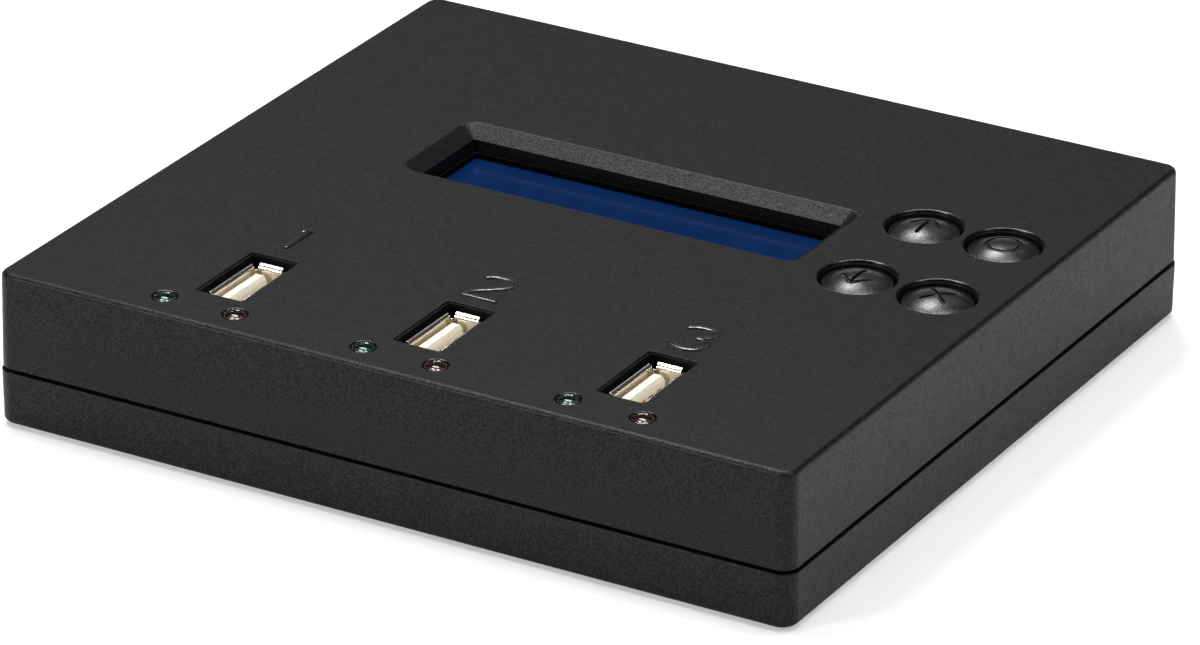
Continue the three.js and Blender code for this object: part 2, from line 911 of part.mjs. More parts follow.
function switchPlunger() {
  const bottom = switchBodyHeight - plungerSunk;
  return post(plungerRadius, bottom, switchHeight, new THREE.Vector2(0, 0));
}

// The power inlet: a block on the board with a round nose in the back wall's hole.
function jackBody() {
  const bodyBack = -jackLength / 2;
  const noseEnd = jackNoseLength;
  const body = block(jackWidth, jackLength, 0, jackHeight, 0, bodyBack);
  const nose = rodAlongY(jackNoseRadius, -overrun, noseEnd, 0, jackAxisHeight, lightSegments);
  const boreStart = noseEnd - jackBoreDepth;
  const bore = rodAlongY(
    jackBoreRadius,
    boreStart,
    noseEnd + overrun,
    0,
    jackAxisHeight,
    lightSegments,
  );
  return cut(join(body, nose), bore);
}

function jackPin() {
  const start = jackNoseLength - jackBoreDepth;
  const end = jackNoseLength - jackPinRecess;
  return rodAlongY(jackPinRadius, start, end, 0, jackAxisHeight, screwSegments);
}

// The controller, a flat square chip with a row of pins on each side.
function controller() {
  const reach = controllerSize / 2 + controllerPinReach;
  const bars = [];
  for (let pin = 0; pin < controllerPins; pin += 1) {
    const along = (pin - (controllerPins - 1) / 2) * controllerPinPitch;
    const bar = block(2 * reach, controllerPinWidth, 0, controllerPinHeight, 0, along);
    bars.push(bar, bar.rotate([0, 0, 90]));
  }
  return join(chip(controllerSize, controllerSize, controllerHeight, chipEdge), ...bars);
}

function regulator() {
  const tabY = (regulatorDepth + regulatorTabDepth) / 2;
  return join(
    chip(regulatorWidth, regulatorDepth, regulatorHeight, chipEdge),
    block(
      regulatorWidth - 2 * chipEdge,
      regulatorTabDepth + 2 * chipEdge,
      0,
      regulatorTabHeight,
      0,
      tabY,
    ),
  );
}

// An upright can with the rolled groove that such capacitors have near the base.
function capacitor() {
  const groove = capacitorGroove;
  return revolve(
    [
      [0, 0],
      [capacitorRadius, 0],
      [capacitorRadius, 2 * groove],
      [capacitorRadius - groove, 3 * groove],
      [capacitorRadius, 4 * groove],
      [capacitorRadius, capacitorHeight - groove],
      [capacitorRadius - groove, capacitorHeight],
      [0, capacitorHeight],
    ],
    postSegments,
  );
}

// A shielded coil: a square block with cut corners and a round core on top.
function inductor() {
  const core = new THREE.Vector2(0, 0);
  const shield = slab(inductorSize, inductorSize, inductorChamfer, 0, inductorHeight - chipEdge);
  return join(shield, post(inductorSize / 2 - inductorChamfer / 2, 0, inductorHeight, core));
}

const duplicator = new THREE.Group();

function addCase() {
  duplicator.add(piece("upper_shell", upperShell(), finishes.caseBlack));
  duplicator.add(piece("lower_shell", lowerShell(), finishes.caseBlack));
  const seat = footProud + caseScrewRecess;
  const length = rimZ + caseScrewBite - seat;
  const closing = screw(caseScrewRadius, caseScrewHeadRadius, caseScrewHeadHeight, length);
  postPlaces.forEach(({ x, y }, index) => {
    duplicator.add(piece(`case_screw_${index + 1}`, closing, finishes.zincSteel, x, y, seat));
  });
  const pad = foot();
  footPlaces.forEach(({ x, y }, index) => {
    duplicator.add(piece(`foot_${index + 1}`, pad, finishes.footRubber, x, y));
  });
}

function addMainBoard() {
  duplicator.add(piece("main_board", mainBoard(), finishes.boardGreen));
  const length = boardThickness + boardScrewBite;
  const fixing = screw(boardScrewRadius, boardScrewHeadRadius, boardScrewHeadHeight, length);
  standoffPlaces.forEach(({ x, y }, index) => {
    const mesh = piece(`board_screw_${index + 1}`, fixing, finishes.zincSteel, x, y, boardTopZ);
    mesh.rotation.x = Math.PI;
    duplicator.add(mesh);
  });
  const parts = new THREE.Group();
  parts.position.z = boardTopZ;
  const crystal = slab(crystalLength, crystalWidth, crystalWidth / 2, 0, crystalHeight);
  const memory = chip(memoryWidth, memoryDepth, memoryHeight, chipEdge);
  const rows = [
    ["controller_chip", controller(), finishes.chipBlack, controllerPlaceShares],
    ["memory_chip", memory, finishes.chipBlack, memoryPlaceShares],
    ["crystal", crystal, finishes.zincSteel, crystalPlaceShares],
    ["voltage_regulator", regulator(), finishes.chipBlack, regulatorPlaceShares],
    ["capacitor", capacitor(), finishes.zincSteel, capacitorPlaceShares],
    ["inductor", inductor(), finishes.ferrite, inductorPlaceShares],
  ];
  for (const [name, made, material, [shareX, shareY]] of rows) {
    parts.add(piece(name, made, material, shareX * boardWidth, shareY * boardDepth));
  }
  duplicator.add(parts);
}

function addPorts() {
  const shell = portShell();
  const insulator = portInsulator();
  portPlaces.forEach(({ x, y }, index) => {
    const port = new THREE.Group();
    port.position.set(x, y, boardTopZ);
    port.add(piece(`usb_shell_${index + 1}`, shell, finishes.nickel));
    port.add(piece(`usb_insulator_${index + 1}`, insulator, finishes.portWhite));
    duplicator.add(port);
  });
}

function addLights() {
  const lens = light();
  lightPlaces().forEach(({ x, y }, index) => {
    const number = Math.floor(index / 2) + 1;
    const green = index % 2 === 0;
    const name = green ? `green_light_${number}` : `red_light_${number}`;
    const material = green ? finishes.greenLens : finishes.redLens;
    duplicator.add(piece(name, lens, material, x, y, boardTopZ));
  });
}

function addDisplay() {
  const display = new THREE.Group();
  display.position.set(displayX, displayPlaceY, 0);
  const glass = displayLayer(glassBottomZ, glassTopZ);
  const backlight = displayLayer(displayBoardTopZ, glassBottomZ);
  display.add(piece("display_frame", displayFrame(), finishes.displayBlack));
  display.add(piece("display_glass", glass, finishes.displayBlue));
  display.add(piece("display_backlight", backlight, finishes.diffuser));
  display.add(piece("display_board", displayBoard(), finishes.boardGreen));
  duplicator.add(display);
  duplicator.add(
    piece("display_header", displayHeader(), finishes.chipBlack, headerX, headerY, boardTopZ),
  );
  const length = displayBoardThickness + displayScrewBite;
  const fixing = screw(
    displayScrewRadius,
    displayScrewHeadRadius,
    displayScrewHeadHeight,
    length,
  );
  displayPostPlaces.forEach(({ x, y }, index) => {
    const name = `display_screw_${index + 1}`;
    duplicator.add(piece(name, fixing, finishes.zincSteel, x, y, displayBoardBottomZ));
  });
}

function addButtons() {
  const cap = buttonCap();
  const body = switchBody();
  const plunger = switchPlunger();
  for (const [name, { x, y }] of Object.entries(buttonPlaces)) {
    duplicator.add(piece(`${name}_button`, cap, finishes.buttonBlack, x, y));
    duplicator.add(piece(`${name}_switch_body`, body, finishes.chipBlack, x, y, boardTopZ));
    duplicator.add(piece(`${name}_switch_plunger`, plunger, finishes.chipBlack, x, y, boardTopZ));
  }
}

function addPowerInlet() {
  const inlet = new THREE.Group();
  inlet.position.set(jackX, jackFrontY, boardTopZ);
  inlet.add(piece("power_jack_body", jackBody(), finishes.chipBlack));
  inlet.add(piece("power_jack_pin", jackPin(), finishes.nickel));
  duplicator.add(inlet);
}

addCase();
addMainBoard();
addPorts();
addLights();
addDisplay();
addButtons();
addPowerInlet();

export default duplicator;
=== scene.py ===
import math

import bmesh
import bpy
from mathutils import Matrix, Quaternion, Vector


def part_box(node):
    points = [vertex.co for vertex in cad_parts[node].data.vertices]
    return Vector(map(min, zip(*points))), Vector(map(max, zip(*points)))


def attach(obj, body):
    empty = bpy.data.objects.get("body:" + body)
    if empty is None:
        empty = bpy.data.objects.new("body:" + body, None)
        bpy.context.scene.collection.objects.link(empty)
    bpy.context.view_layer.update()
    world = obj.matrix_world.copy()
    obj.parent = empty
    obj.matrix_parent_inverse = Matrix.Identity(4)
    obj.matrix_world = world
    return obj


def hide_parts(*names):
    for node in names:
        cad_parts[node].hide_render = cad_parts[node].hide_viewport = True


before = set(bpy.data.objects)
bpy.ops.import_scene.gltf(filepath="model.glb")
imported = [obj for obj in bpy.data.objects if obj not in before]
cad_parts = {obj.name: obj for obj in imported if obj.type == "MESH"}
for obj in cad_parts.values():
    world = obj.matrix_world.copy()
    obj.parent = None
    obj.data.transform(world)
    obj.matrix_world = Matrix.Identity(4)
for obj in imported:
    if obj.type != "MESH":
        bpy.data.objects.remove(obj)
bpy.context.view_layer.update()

MM = 0.001
PORTS = (1, 2, 3)
CORNERS = (1, 2, 3, 4)
KEYS = ("up", "down", "enter", "escape")
LIGHTS = [(colour, port) for port in PORTS for colour in ("green", "red")]

# Case
CASE_WIDTH = 140.0
CASE_DEPTH = 130.4
CASE_CORNER = 2.85
CASE_BASE = 0.55
TOP = 25.9
DRAFT = math.tan(math.radians(0.89))
TOP_FILLET = 0.92
BOTTOM_FILLET = 0.8
SIDE_WALL = 2.2
CEILING = 23.5
FLOOR_TOP = 2.75
TRAY_CORNER = 0.65

# Seam: the lower shell's rim, the upper shell's lower edge and the lip inside them
RIM = 9.45
SEAM_TOP = 10.0
SEAM_EDGE = 0.16
SHELL_STEP = 0.19
LIP_INSET = 1.25
LIP_CLEARANCE = 0.15
LIP_TOP = 10.95

# Screw posts at the case's corners, and the screws that go up into them
POST_X, POST_Y, POST_RADIUS = 62.0, 57.2, 3.5
POST_BASE, POST_TOP = 1.6, 24.7
SCREW_WELL, SCREW_WELL_EDGE, SCREW_SEAT, SCREW_BORE = 2.9, 0.3, 3.55, 1.6
HEAD_RADIUS, HEAD_HEIGHT, HEAD_ROUND, HEAD_FLAT = 2.6, 2.0, 1.0, 1.5
SHANK_RADIUS = 1.3
CROSS_REACH, CROSS_HALF, CROSS_DEPTH = 1.5, 0.3, 1.1
SCREW_TURN = 20

# Feet and their recesses
FOOT_X, FOOT_Y = 54.0, 49.2
FOOT_RADIUS, FOOT_EDGE, FOOT_TOP = 5.0, 0.4, 1.4
FOOT_HOLLOW, FOOT_HOLLOW_EDGE, FOOT_HOLLOW_DEPTH = 3.1, 0.2, 0.12
FOOT_WELL, FOOT_WELL_EDGE, FOOT_SEAT = 5.3, 0.15, 1.45

# Openings in the top. A drop is how far down a small step in the wall lies.
SLOT_WIDTH, SLOT_LENGTH, SLOT_CORNER, SLOT_EDGE = 8.0, 16.0, 0.35, 0.12
SLOT_STEP, SLOT_STEP_DROP, SLOT_STEP_FALL = 0.2, 0.3, 0.02
LIGHT_HOLE, LIGHT_EDGE, LIGHT_BORE, LIGHT_BORE_DROP = 2.1, 0.14, 2.03, 0.36
KEY_HOLE, KEY_EDGE, KEY_BORE, KEY_BORE_DROP = 6.35, 0.22, 6.22, 0.56
BORE_ROUND_SHARE = 0.6
WELL_X, WELL_Y = -1.2, 11.7
WELL_WIDTH, WELL_DEPTH, WELL_CORNER, WELL_EDGE = 72.4, 22.0, 3.0, 0.3
WELL_SLOPE, WELL_DROP = 2.7, 1.8
RIM_WALL = 1.6
FRAME_TOP = 22.4

# Raised digits and engraved signs: how wide and high or deep they are, and their middle lines
DIGIT_WIDTH, DIGIT_HEIGHT = 0.9, 0.32
SIGN_WIDTH, SIGN_DEPTH = 0.8, 0.32
DIGITS = {
    1: ([(-35.75, -27.2), (-36.0, -34.9)], [(-35.75, -27.2), (-37.1, -28.5)]),
    2: (
        [
            (-3.65, -28.55), (-2.75, -27.8), (-1.0, -27.45), (0.6, -27.6), (1.65, -28.3),
            (1.85, -29.15), (1.35, -30.15), (-0.3, -31.65), (-2.8, -33.75), (-3.55, -35.3),
        ],
        [(-3.9, -35.3), (2.5, -35.3)],
    ),
    3: (
        [
            (31.9, -28.55), (33.1, -27.8), (34.8, -27.45), (36.4, -27.8), (37.15, -28.75),
            (36.95, -29.9), (36.1, -30.75), (34.75, -31.05),
        ],
        [
            (34.75, -31.05), (36.3, -31.15), (37.3, -31.95), (37.5, -33.2), (37.0, -34.5),
            (35.6, -35.2), (33.9, -35.15), (32.6, -34.65), (31.85, -34.05),
        ],
    ),
}
ARROW = ([(0, 2.75), (0, -2.9)], [(0, 2.75), (-2.65, 0.1)], [(0, 2.75), (2.65, 0.1)])
SIGNS = {
    "up": ARROW,
    "down": [[(x, -y) for x, y in line] for line in ARROW],
    "escape": ([(-2.15, 2.15), (2.15, -2.15)], [(-2.15, -2.15), (2.15, 2.15)]),
}
RING_RADIUS, RING_POINTS = 2.62, 8
# How a stroke narrows to its round end: distance past the last point, and width there, both
# as a share of half the stroke's width
STROKE_END_SHARES = ((0.0, 1.0), (0.45, 0.9), (0.8, 0.6), (0.98, 0.2))

# Push buttons
CAP_RADIUS = 5.7
CAP_RIM = 24.85
CAP_RISE = 1.45
CAP_EDGE, CAP_EDGE_TURN = 0.36, 68
FLANGE_RADIUS, FLANGE_BASE, FLANGE_TOP = 6.6, 22.5, 23.4
STEM_RADIUS, STEM_BASE, STEM_EDGE = 2.0, 15.9, 0.2

# Ports: the folded sheet and its four lips
SHEET, SHEET_CORNER, SHEET_EDGE = 0.3, 0.45, 0.05
PORT_WIDTH, PORT_LENGTH = 5.7, 13.1
PORT_BASE, PORT_BEND = 10.9, 24.0
SIDE_LIP, SIDE_LIP_RISE, SIDE_LIP_TURN, SIDE_LIP_RADIUS = 12.4, 0.3, 86.0, 0.5
END_LIP, END_LIP_RISE, END_LIP_TURN, END_LIP_RADIUS = 4.2, 0.0, 82.0, 0.82

# Ports: the insulator's block, its tongue and the contacts on it
BLOCK_TOP = 15.9
BLOCK_INSET, BLOCK_CORNER, BLOCK_EDGE = 0.35, 0.4, 0.2
TONGUE_LEFT, TONGUE_RIGHT, TONGUE_TOP = -1.9, -0.05, 23.8
TONGUE_LENGTH, TONGUE_END, TONGUE_EDGE = 11.1, 0.3, 0.12
LEAD_IN, LEAD_IN_DEPTH = 0.6, 0.9
CONTACT_PLACES = (-3.5, -1.0, 1.0, 3.5)
CONTACT_WIDTH, CONTACT_TOP, CONTACT_ROOT = 1.1, 22.35, 0.4
CONTACT_SUNK, CONTACT_PROUD, CONTACT_EDGE = 0.1, 0.12, 0.05

# Lights: the lens with its rim, and how its face crowns towards the middle, as shares of the
# face's radius and of the crown
LENS_RADIUS, LENS_HEIGHT = 1.9, 5.2
LENS_EDGE, LENS_EDGE_SAG = 0.1, 0.03
LENS_FLANGE, LENS_FLANGE_HEIGHT = 2.2, 1.0
LENS_FACE, LENS_RIM, LENS_SINK, LENS_CROWN = 1.5, 1.73, 0.13, 0.04
LENS_RIM_SLOPE, LENS_RIM_SAG = 0.03, 0.01
LENS_CROWN_SHARES = ((0.8, 0.0), (0.4, 0.7), (0.0, 1.0))

# Lights: the dyed core, the leads below and the lead frame in the lens. Depths are from its top.
CORE_RADIUS, CORE_DEPTH, CORE_EDGE = 1.75, 1.9, 0.2
LEAD_SPACING, LEAD_HALF, LEAD_EDGE, LEAD_SEAT = 1.27, 0.25, 0.05, 0.4
CUP_RADIUS, CUP_DEPTH, CUP_RIM, CUP_SLOPE = 0.58, 0.42, 0.08, 0.4
NECK_RADIUS, NECK_FLARE = 0.24, 0.1
ANVIL_RADIUS, ANVIL_DEPTH = 0.74, 1.6
LEAD_FRAME_FLATNESS = 0.42

# Display
SURROUND_CORNER, SURROUND_SHEET = 0.9, 0.6
SURROUND_EDGE, SURROUND_EDGE_MIDDLE = 0.4, 0.12
WINDOW_WIDTH, WINDOW_DEPTH, WINDOW_CORNER = 65.2, 14.2, 0.5
# The gasket's sleeve lines the window's edge, and its near-black is painted shade there.
GASKET_WIDTH, GASKET_DEPTH = 67.0, 16.0
GASKET_GAP, GASKET_SEAT, GASKET_WALL, GASKET_SINK = 0.05, 0.01, 0.1, 0.03
GLASS_EDGE = 0.1

# Power inlet, and its hole in the back wall
NOSE_RADIUS, NOSE_LENGTH, NOSE_EDGE, NOSE_ROOT = 3.9, 2.0, 0.25, 0.5
JACK_EDGE = 0.35
BORE_RADIUS, BORE_DEPTH, BORE_EDGE, BORE_EDGE_DEPTH = 3.2, 10.5, 0.2, 0.3
PIN_RADIUS, PIN_ROUND = 1.0, 0.6
INLET_HOLE, INLET_HOLE_EDGE, INLET_HOLE_EDGE_MIDDLE, INLET_HOLE_DEPTH = 4.2, 0.3, 0.08, 3.4

# How finely curves are cut, how far cuts run on, and what counts as one place or as level
CORNER_STEPS = 12
FILLET_STEPS = 8
ROUND_STEPS = 96
SMALL_STEPS = 48
POST_STEPS = 32
EDGE_STEPS = 5
SHARP = math.radians(38)
PAST = 1.0
SAME_PLACE = 0.001
MERGE = 0.0005
CUT_MERGE = 0.002
LEVEL = 0.999


# Small helpers


def middle(node):
    """The middle of a CAD node in plan."""
    low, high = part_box(node)
    return (low.x + high.x) / 2 / MM, (low.y + high.y) / 2 / MM


def arc(u, v, radius, start, end, steps=FILLET_STEPS):
    """Points on an arc about (u, v), from one angle to another in degrees."""
    angles = [math.radians(start + (end - start) * step / steps) for step in range(steps + 1)]
    return [(u + radius * math.cos(a), v + radius * math.sin(a)) for a in angles]


def rolled_edge(edge, turn=math.pi / 2, steps=EDGE_STEPS):
    """A rolled upper edge, as (way in, height) pairs from the flat top to where it stops."""
    angles = [turn * step / steps for step in range(steps + 1)]
    return [(edge * math.sin(a), TOP - edge * (1 - math.cos(a))) for a in angles]


def rounded(straight, height, radius, turn, steps=FILLET_STEPS):
    """A quarter round, as (inset, height) pairs that begin or end a straight inset in."""
    return [(straight + radius - u, v) for u, v in arc(0, height, radius, 0, turn, steps)]


def bevel(made, parts, width, steps, kind="EDGES"):
    """Rounds edges, or the corners of a flat face."""
    bmesh.ops.bevel(
        made, geom=parts, offset=width, segments=steps, profile=0.5, affect=kind, material=-1
    )


def move(made, x, y, z):
    """Moves a solid."""
    bmesh.ops.translate(made, vec=(x, y, z), verts=made.verts)
    return made


def tower(width, depth, radius, start, *runs, x=0.0, y=0.0, steps=CORNER_STEPS):
    """A closed solid on a rounded rectangle at height start. Each run goes on from there through
    (inset, height) pairs, the first one way and the second the other."""
    made = bmesh.new()
    bmesh.ops.create_grid(made, x_segments=1, y_segments=1, size=0.5)
    bmesh.ops.scale(made, vec=(width, depth, 1.0), verts=made.verts)
    bevel(made, made.verts[:], radius, steps, "VERTICES")
    move(made, x, y, start)
    face = made.faces[:][0]
    for run in runs:
        if face is None:
            face = close(made)[0]
        inset_here, height_here = 0.0, start
        for inset, height in run:
            if inset > inset_here:
                bmesh.ops.inset_region(
                    made, faces=[face], thickness=inset - inset_here,
                    use_even_offset=True, use_boundary=True,
                )
            else:
                face = bmesh.ops.extrude_discrete_faces(made, faces=[face])["faces"][0]
            bmesh.ops.translate(made, vec=(0, 0, height - height_here), verts=face.verts)
            inset_here, height_here = inset, height
        face = None
    close(made)
    return made


def close(made):
    """Fills the open ends of a solid in the making."""
    rim = [edge for edge in made.edges if edge.is_boundary]
    return bmesh.ops.holes_fill(made, edges=rim, sides=0)["faces"] if rim else []


def turned(profile, steps=ROUND_STEPS, x=0.0, y=0.0):
    """A round solid from a profile of (radius, height) pairs, turned about its upright axis."""
    made = bmesh.new()
    points = [made.verts.new((radius, 0.0, height)) for radius, height in profile]
    for low, high in zip(points, points[1:]):
        made.edges.new((low, high))
    bmesh.ops.spin(
        made, geom=made.verts[:] + made.edges[:], cent=(0, 0, 0), axis=(0, 0, 1),
        angle=2 * math.pi, steps=steps, use_merge=True,
    )
    bmesh.ops.remove_doubles(made, verts=made.verts, dist=MERGE)
    return move(made, x, y, 0)


def box(low, high, edge=0.0, steps=2):
    """A block between two corners, with its edges rounded where an edge is given."""
    made = bmesh.new()
    bmesh.ops.create_cube(made, size=1.0)
    low, high = Vector(low), Vector(high)
    bmesh.ops.scale(made, vec=high - low, verts=made.verts)
    if edge:
        bevel(made, made.edges[:], edge, steps)
    return move(made, *(high + low) / 2)


def tilt(made, angle, axis, centre=(0, 0, 0)):
    """Turns a solid about an axis through a point."""
    turn = Matrix.Rotation(math.radians(angle), 3, axis)
    bmesh.ops.rotate(made, cent=centre, matrix=turn, verts=made.verts)
    return made


def mesh_of(name, made):
    """A mesh from a solid, which goes."""
    mesh = bpy.data.meshes.new(name)
    made.to_mesh(mesh)
    made.free()
    return mesh


def show(name, data):
    """A new object in the scene."""
    thing = bpy.data.objects.new(name, data)
    bpy.context.scene.collection.objects.link(thing)
    return thing


def gather(solids):
    """Several solids as one mesh."""
    whole = bmesh.new()
    for made in solids:
        mesh = mesh_of("part", made)
        whole.from_mesh(mesh)
        bpy.data.meshes.remove(mesh)
    return whole


def helper(made):
    """A throw-away object that holds a solid."""
    bmesh.ops.recalc_face_normals(made, faces=made.faces)
    return show("helper", mesh_of("helper", made))


def take(thing):
    """The finished mesh of a throw-away object, which goes."""
    bpy.context.view_layer.update()
    ready = thing.evaluated_get(bpy.context.evaluated_depsgraph_get())
    made = bmesh.new()
    made.from_mesh(ready.to_mesh())
    ready.to_mesh_clear()
    drop(thing)
    return made


def drop(thing):
    """Removes a throw-away object and its mesh."""
    data = thing.data
    bpy.data.objects.remove(thing)
    if isinstance(data, bpy.types.Mesh):
        bpy.data.meshes.remove(data)


def combine(base, tools, operation="DIFFERENCE"):
    """A solid with others cut from it or joined to it."""
    target, tool = helper(base), helper(gather(tools))
    modifier = target.modifiers.new("combine", "BOOLEAN")
    modifier.operation = operation
    modifier.solver = "EXACT"
    modifier.use_self = True
    modifier.object = tool
    made = take(target)
    drop(tool)
    bmesh.ops.remove_doubles(made, verts=made.verts, dist=CUT_MERGE)
    bmesh.ops.dissolve_degenerate(made, edges=made.edges, dist=CUT_MERGE)
    return made


def stroke_of(points, width, depth, closed=False, squareness=0.35):
    """A tube along a middle line, with round ends, to raise or engrave a stroke. The nearer to
    0 the squareness is, the steeper its walls and the flatter its face."""
    curve = bpy.data.curves.new("stroke", "CURVE")
    curve.dimensions = "3D"
    curve.bevel_depth = width / 2
    curve.bevel_resolution = 3
    curve.use_fill_caps = True
    curve.resolution_u = 5
    knots = [(Vector((x, y, 0)), 1.0) for x, y in points]
    if not closed:
        for first, second in ((0, 1), (-1, -2)):
            end = knots[first][0]
            out = (end - knots[second][0]).normalized() * width / 2
            added = [(end + out * (far - 1), size) for far, size in STROKE_END_SHARES]
            knots = added[::-1] + knots[1:] if first == 0 else knots[:-1] + added
    line = curve.splines.new("BEZIER")
    line.bezier_points.add(len(knots) - 1)
    for knot, (place, size) in zip(line.bezier_points, knots):
        knot.co, knot.radius = place, size
        knot.handle_left_type = knot.handle_right_type = "AUTO" if len(points) > 2 else "VECTOR"
    line.use_cyclic_u = closed
    made = take(show("stroke", curve))
    bmesh.ops.remove_doubles(made, verts=made.verts, dist=MERGE)
    for vert in made.verts:
        vert.co.z = math.copysign((abs(vert.co.z) * 2 / width) ** squareness * depth, vert.co.z)
    return made


def put(name, made, material, body="housing", replaces=(), sharp=SHARP, plain=False,
        second=None):
    """Makes a finished piece: its mesh in metres, its shading, its material and its body. A
    second material is for the faces that are marked with 1."""
    bmesh.ops.remove_doubles(made, verts=made.verts, dist=MERGE)
    bmesh.ops.recalc_face_normals(made, faces=made.faces)
    for face in made.faces:
        face.smooth = True
    for edge in made.edges:
        edge.smooth = edge.is_manifold and edge.calc_face_angle(0.0) < sharp
    bmesh.ops.scale(made, vec=(MM, MM, MM), verts=made.verts)
    mesh = mesh_of(name, made)
    mesh.materials.append(material)
    if second:
        mesh.materials.append(second)
    piece = show(name, mesh)
    if not plain:
        shading = piece.modifiers.new("even_shading", "WEIGHTED_NORMAL")
        shading.keep_sharp = True
        shading.weight = 60
    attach(piece, body)
    if replaces:
        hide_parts(*replaces)
    return piece


def soften(piece, width, segments, angle):
    """Rounds the edges of a piece that are sharper than an angle in degrees."""
    edge = piece.modifiers.new("edge", "BEVEL")
    edge.width = width * MM
    edge.segments = segments
    edge.limit_method = "ANGLE"
    edge.angle_limit = math.radians(angle)


# Materials

# Noise stays near its middle: its least and greatest common values, and how rough it is
NOISE_LOW, NOISE_HIGH = 0.3, 0.7
NOISE_ROUGHNESS = 0.55
# Patches of another gloss are this many grains across
PATCH_GRAINS = 5
# How far the shine of moulded plastic goes below and above its middle, as a share of it
SHINE_SHARE = 0.5
# Millimetres across a patch where metal is a little paler or darker
METAL_PATCH = 3.0


def linear(code):
    """A linear colour from an sRGB hex value."""
    parts = [int(code[start : start + 2], 16) / 255 for start in (0, 2, 4)]
    return [
        part / 12.92 if part <= 0.04045 else ((part + 0.055) / 1.055) ** 2.4 for part in parts
    ] + [1.0]


def add(tree, kind, links=None, values=None, **settings):
    """Adds a node with its settings, its sockets' values and its links."""
    made = tree.nodes.new(kind)
    for key, value in settings.items():
        setattr(made, key, value)
    for socket, value in (values or {}).items():
        made.inputs[socket].default_value = value
    for socket, source in (links or {}).items():
        tree.links.new(source, made.inputs[socket])
    return made


def finish(name, colour, **sockets):
    """A material with a principled shader, and the place that its patterns read."""
    material = bpy.data.materials.new(name)
    material.use_nodes = True
    tree = material.node_tree
    shader = tree.nodes["Principled BSDF"]
    shader.inputs["Base Color"].default_value = linear(colour)
    for socket, value in sockets.items():
        shader.inputs[socket.replace("_", " ")].default_value = value
    place = add(tree, "ShaderNodeTexCoord").outputs["Object"]
    return material, tree, shader, place


def per_mm(size):
    """The pattern scale whose features are this many millimetres across."""
    return 1 / (size * MM)


def grain(tree, place, size, detail=2.0, stretch=None):
    """Noise with features of one size in millimetres, drawn out along an axis if asked."""
    if stretch:
        place = add(
            tree, "ShaderNodeMapping", {"Vector": place}, {"Scale": stretch}
        ).outputs["Vector"]
    return add(
        tree, "ShaderNodeTexNoise", {"Vector": place},
        {"Scale": per_mm(size), "Detail": detail, "Roughness": NOISE_ROUGHNESS},
    ).outputs["Fac"]


def tint(tree, shader, factor, dark, light):
    """Lets the base colour drift between two hex values with a pattern."""
    mix = add(
        tree, "ShaderNodeMix", {0: factor}, {"A": linear(dark), "B": linear(light)},
        data_type="RGBA",
    )
    tree.links.new(mix.outputs["Result"], shader.inputs["Base Color"])


def spread(tree, shader, factor, low, high, socket="Roughness"):
    """Lets one of the shader's values drift between two limits with a pattern."""
    ramp = add(
        tree, "ShaderNodeMapRange", {"Value": factor},
        {"From Min": NOISE_LOW, "From Max": NOISE_HIGH, "To Min": low, "To Max": high},
    )
    tree.links.new(ramp.outputs["Result"], shader.inputs[socket])


def relief(tree, shader, factor, height):
    """Raises a pattern by a height in millimetres."""
    bump = add(tree, "ShaderNodeBump", {"Height": factor}, {"Distance": height * MM})
    tree.links.new(bump.outputs["Normal"], shader.inputs["Normal"])


def moulded(name, dark, light, rough, size, height, specular):
    """Injection-moulded plastic: a fine even grain whose hollows shine less and are painted
    darker as painted shade, with patches a few grains wide that are a little duller than the
    rest."""
    material, tree, shader, place = finish(name, dark, Roughness=rough[1])
    skin = grain(tree, place, size)
    spread(
        tree, shader, skin, (1 - SHINE_SHARE) * specular, (1 + SHINE_SHARE) * specular,
        "Specular IOR Level",
    )
    # Painted shade: the base colour follows the grain's relief and is darker in its hollows.
    tint(tree, shader, skin, dark, light)
    spread(tree, shader, grain(tree, place, PATCH_GRAINS * size), *rough)
    relief(tree, shader, skin, height)
    return material


def metal(name, dark, light, rough, size, height, stretch=(1, 1, 1)):
    """Metal whose drawing or rolling left fine lines along one axis."""
    material, tree, shader, place = finish(name, light, Roughness=rough[1], Metallic=1.0)
    lines = grain(tree, place, size, detail=3.0, stretch=stretch)
    tint(tree, shader, grain(tree, place, METAL_PATCH), dark, light)
    spread(tree, shader, lines, *rough)
    relief(tree, shader, lines, height)
    return material


# Case: charcoal ABS from a spark-eroded mould, matte. The real grain is about 0.1 mm across,
# and is drawn at 0.32 mm so that it shows.
case_abs = moulded(
    "textured_charcoal_abs", "08080a", "1b1b1d", (0.36, 0.44),
    size=0.32, height=0.042, specular=0.22,
)
# Edges of the round holes, and port numbers: the same ABS, where the mould is polished.
bead_abs = moulded(
    "polished_charcoal_abs", "0b0b0c", "101011", (0.2, 0.28),
    size=0.5, height=0.002, specular=0.8,
)
# Button caps: the same ABS from a finer, blasted mould, so they are satin and shine softly. The
# grain is drawn two or three times as coarse as the real one.
cap_abs = moulded(
    "satin_black_abs", "070708", "111112", (0.27, 0.33), size=0.28, height=0.02, specular=0.8,
)
# Feet: moulded rubber, dull and slightly pitted.
rubber = moulded(
    "moulded_black_rubber", "141414", "1a1a1a", (0.8, 0.95), size=0.4, height=0.02, specular=0.3,
)
# Chip packages, switch bodies and the header: transfer-moulded epoxy, fine and even.
epoxy = moulded(
    "black_moulding_epoxy", "1b1c1e", "232427", (0.5, 0.62),
    size=0.12, height=0.004, specular=0.4,
)
# Inlet body: glossier nylon.
nylon = moulded(
    "black_nylon", "151516", "1b1b1d", (0.32, 0.45), size=0.5, height=0.004, specular=0.5,
)
# Inductor: sintered ferrite, grainy and matt.
ferrite = moulded(
    "sintered_ferrite", "35353a", "45454a", (0.65, 0.85), size=0.25, height=0.02, specular=0.4,
)
# Light guide behind the glass: milky acrylic.
diffuser = moulded(
    "milky_acrylic", "dcdcd6", "ecece7", (0.4, 0.5), size=1.0, height=0.002, specular=0.5,
)
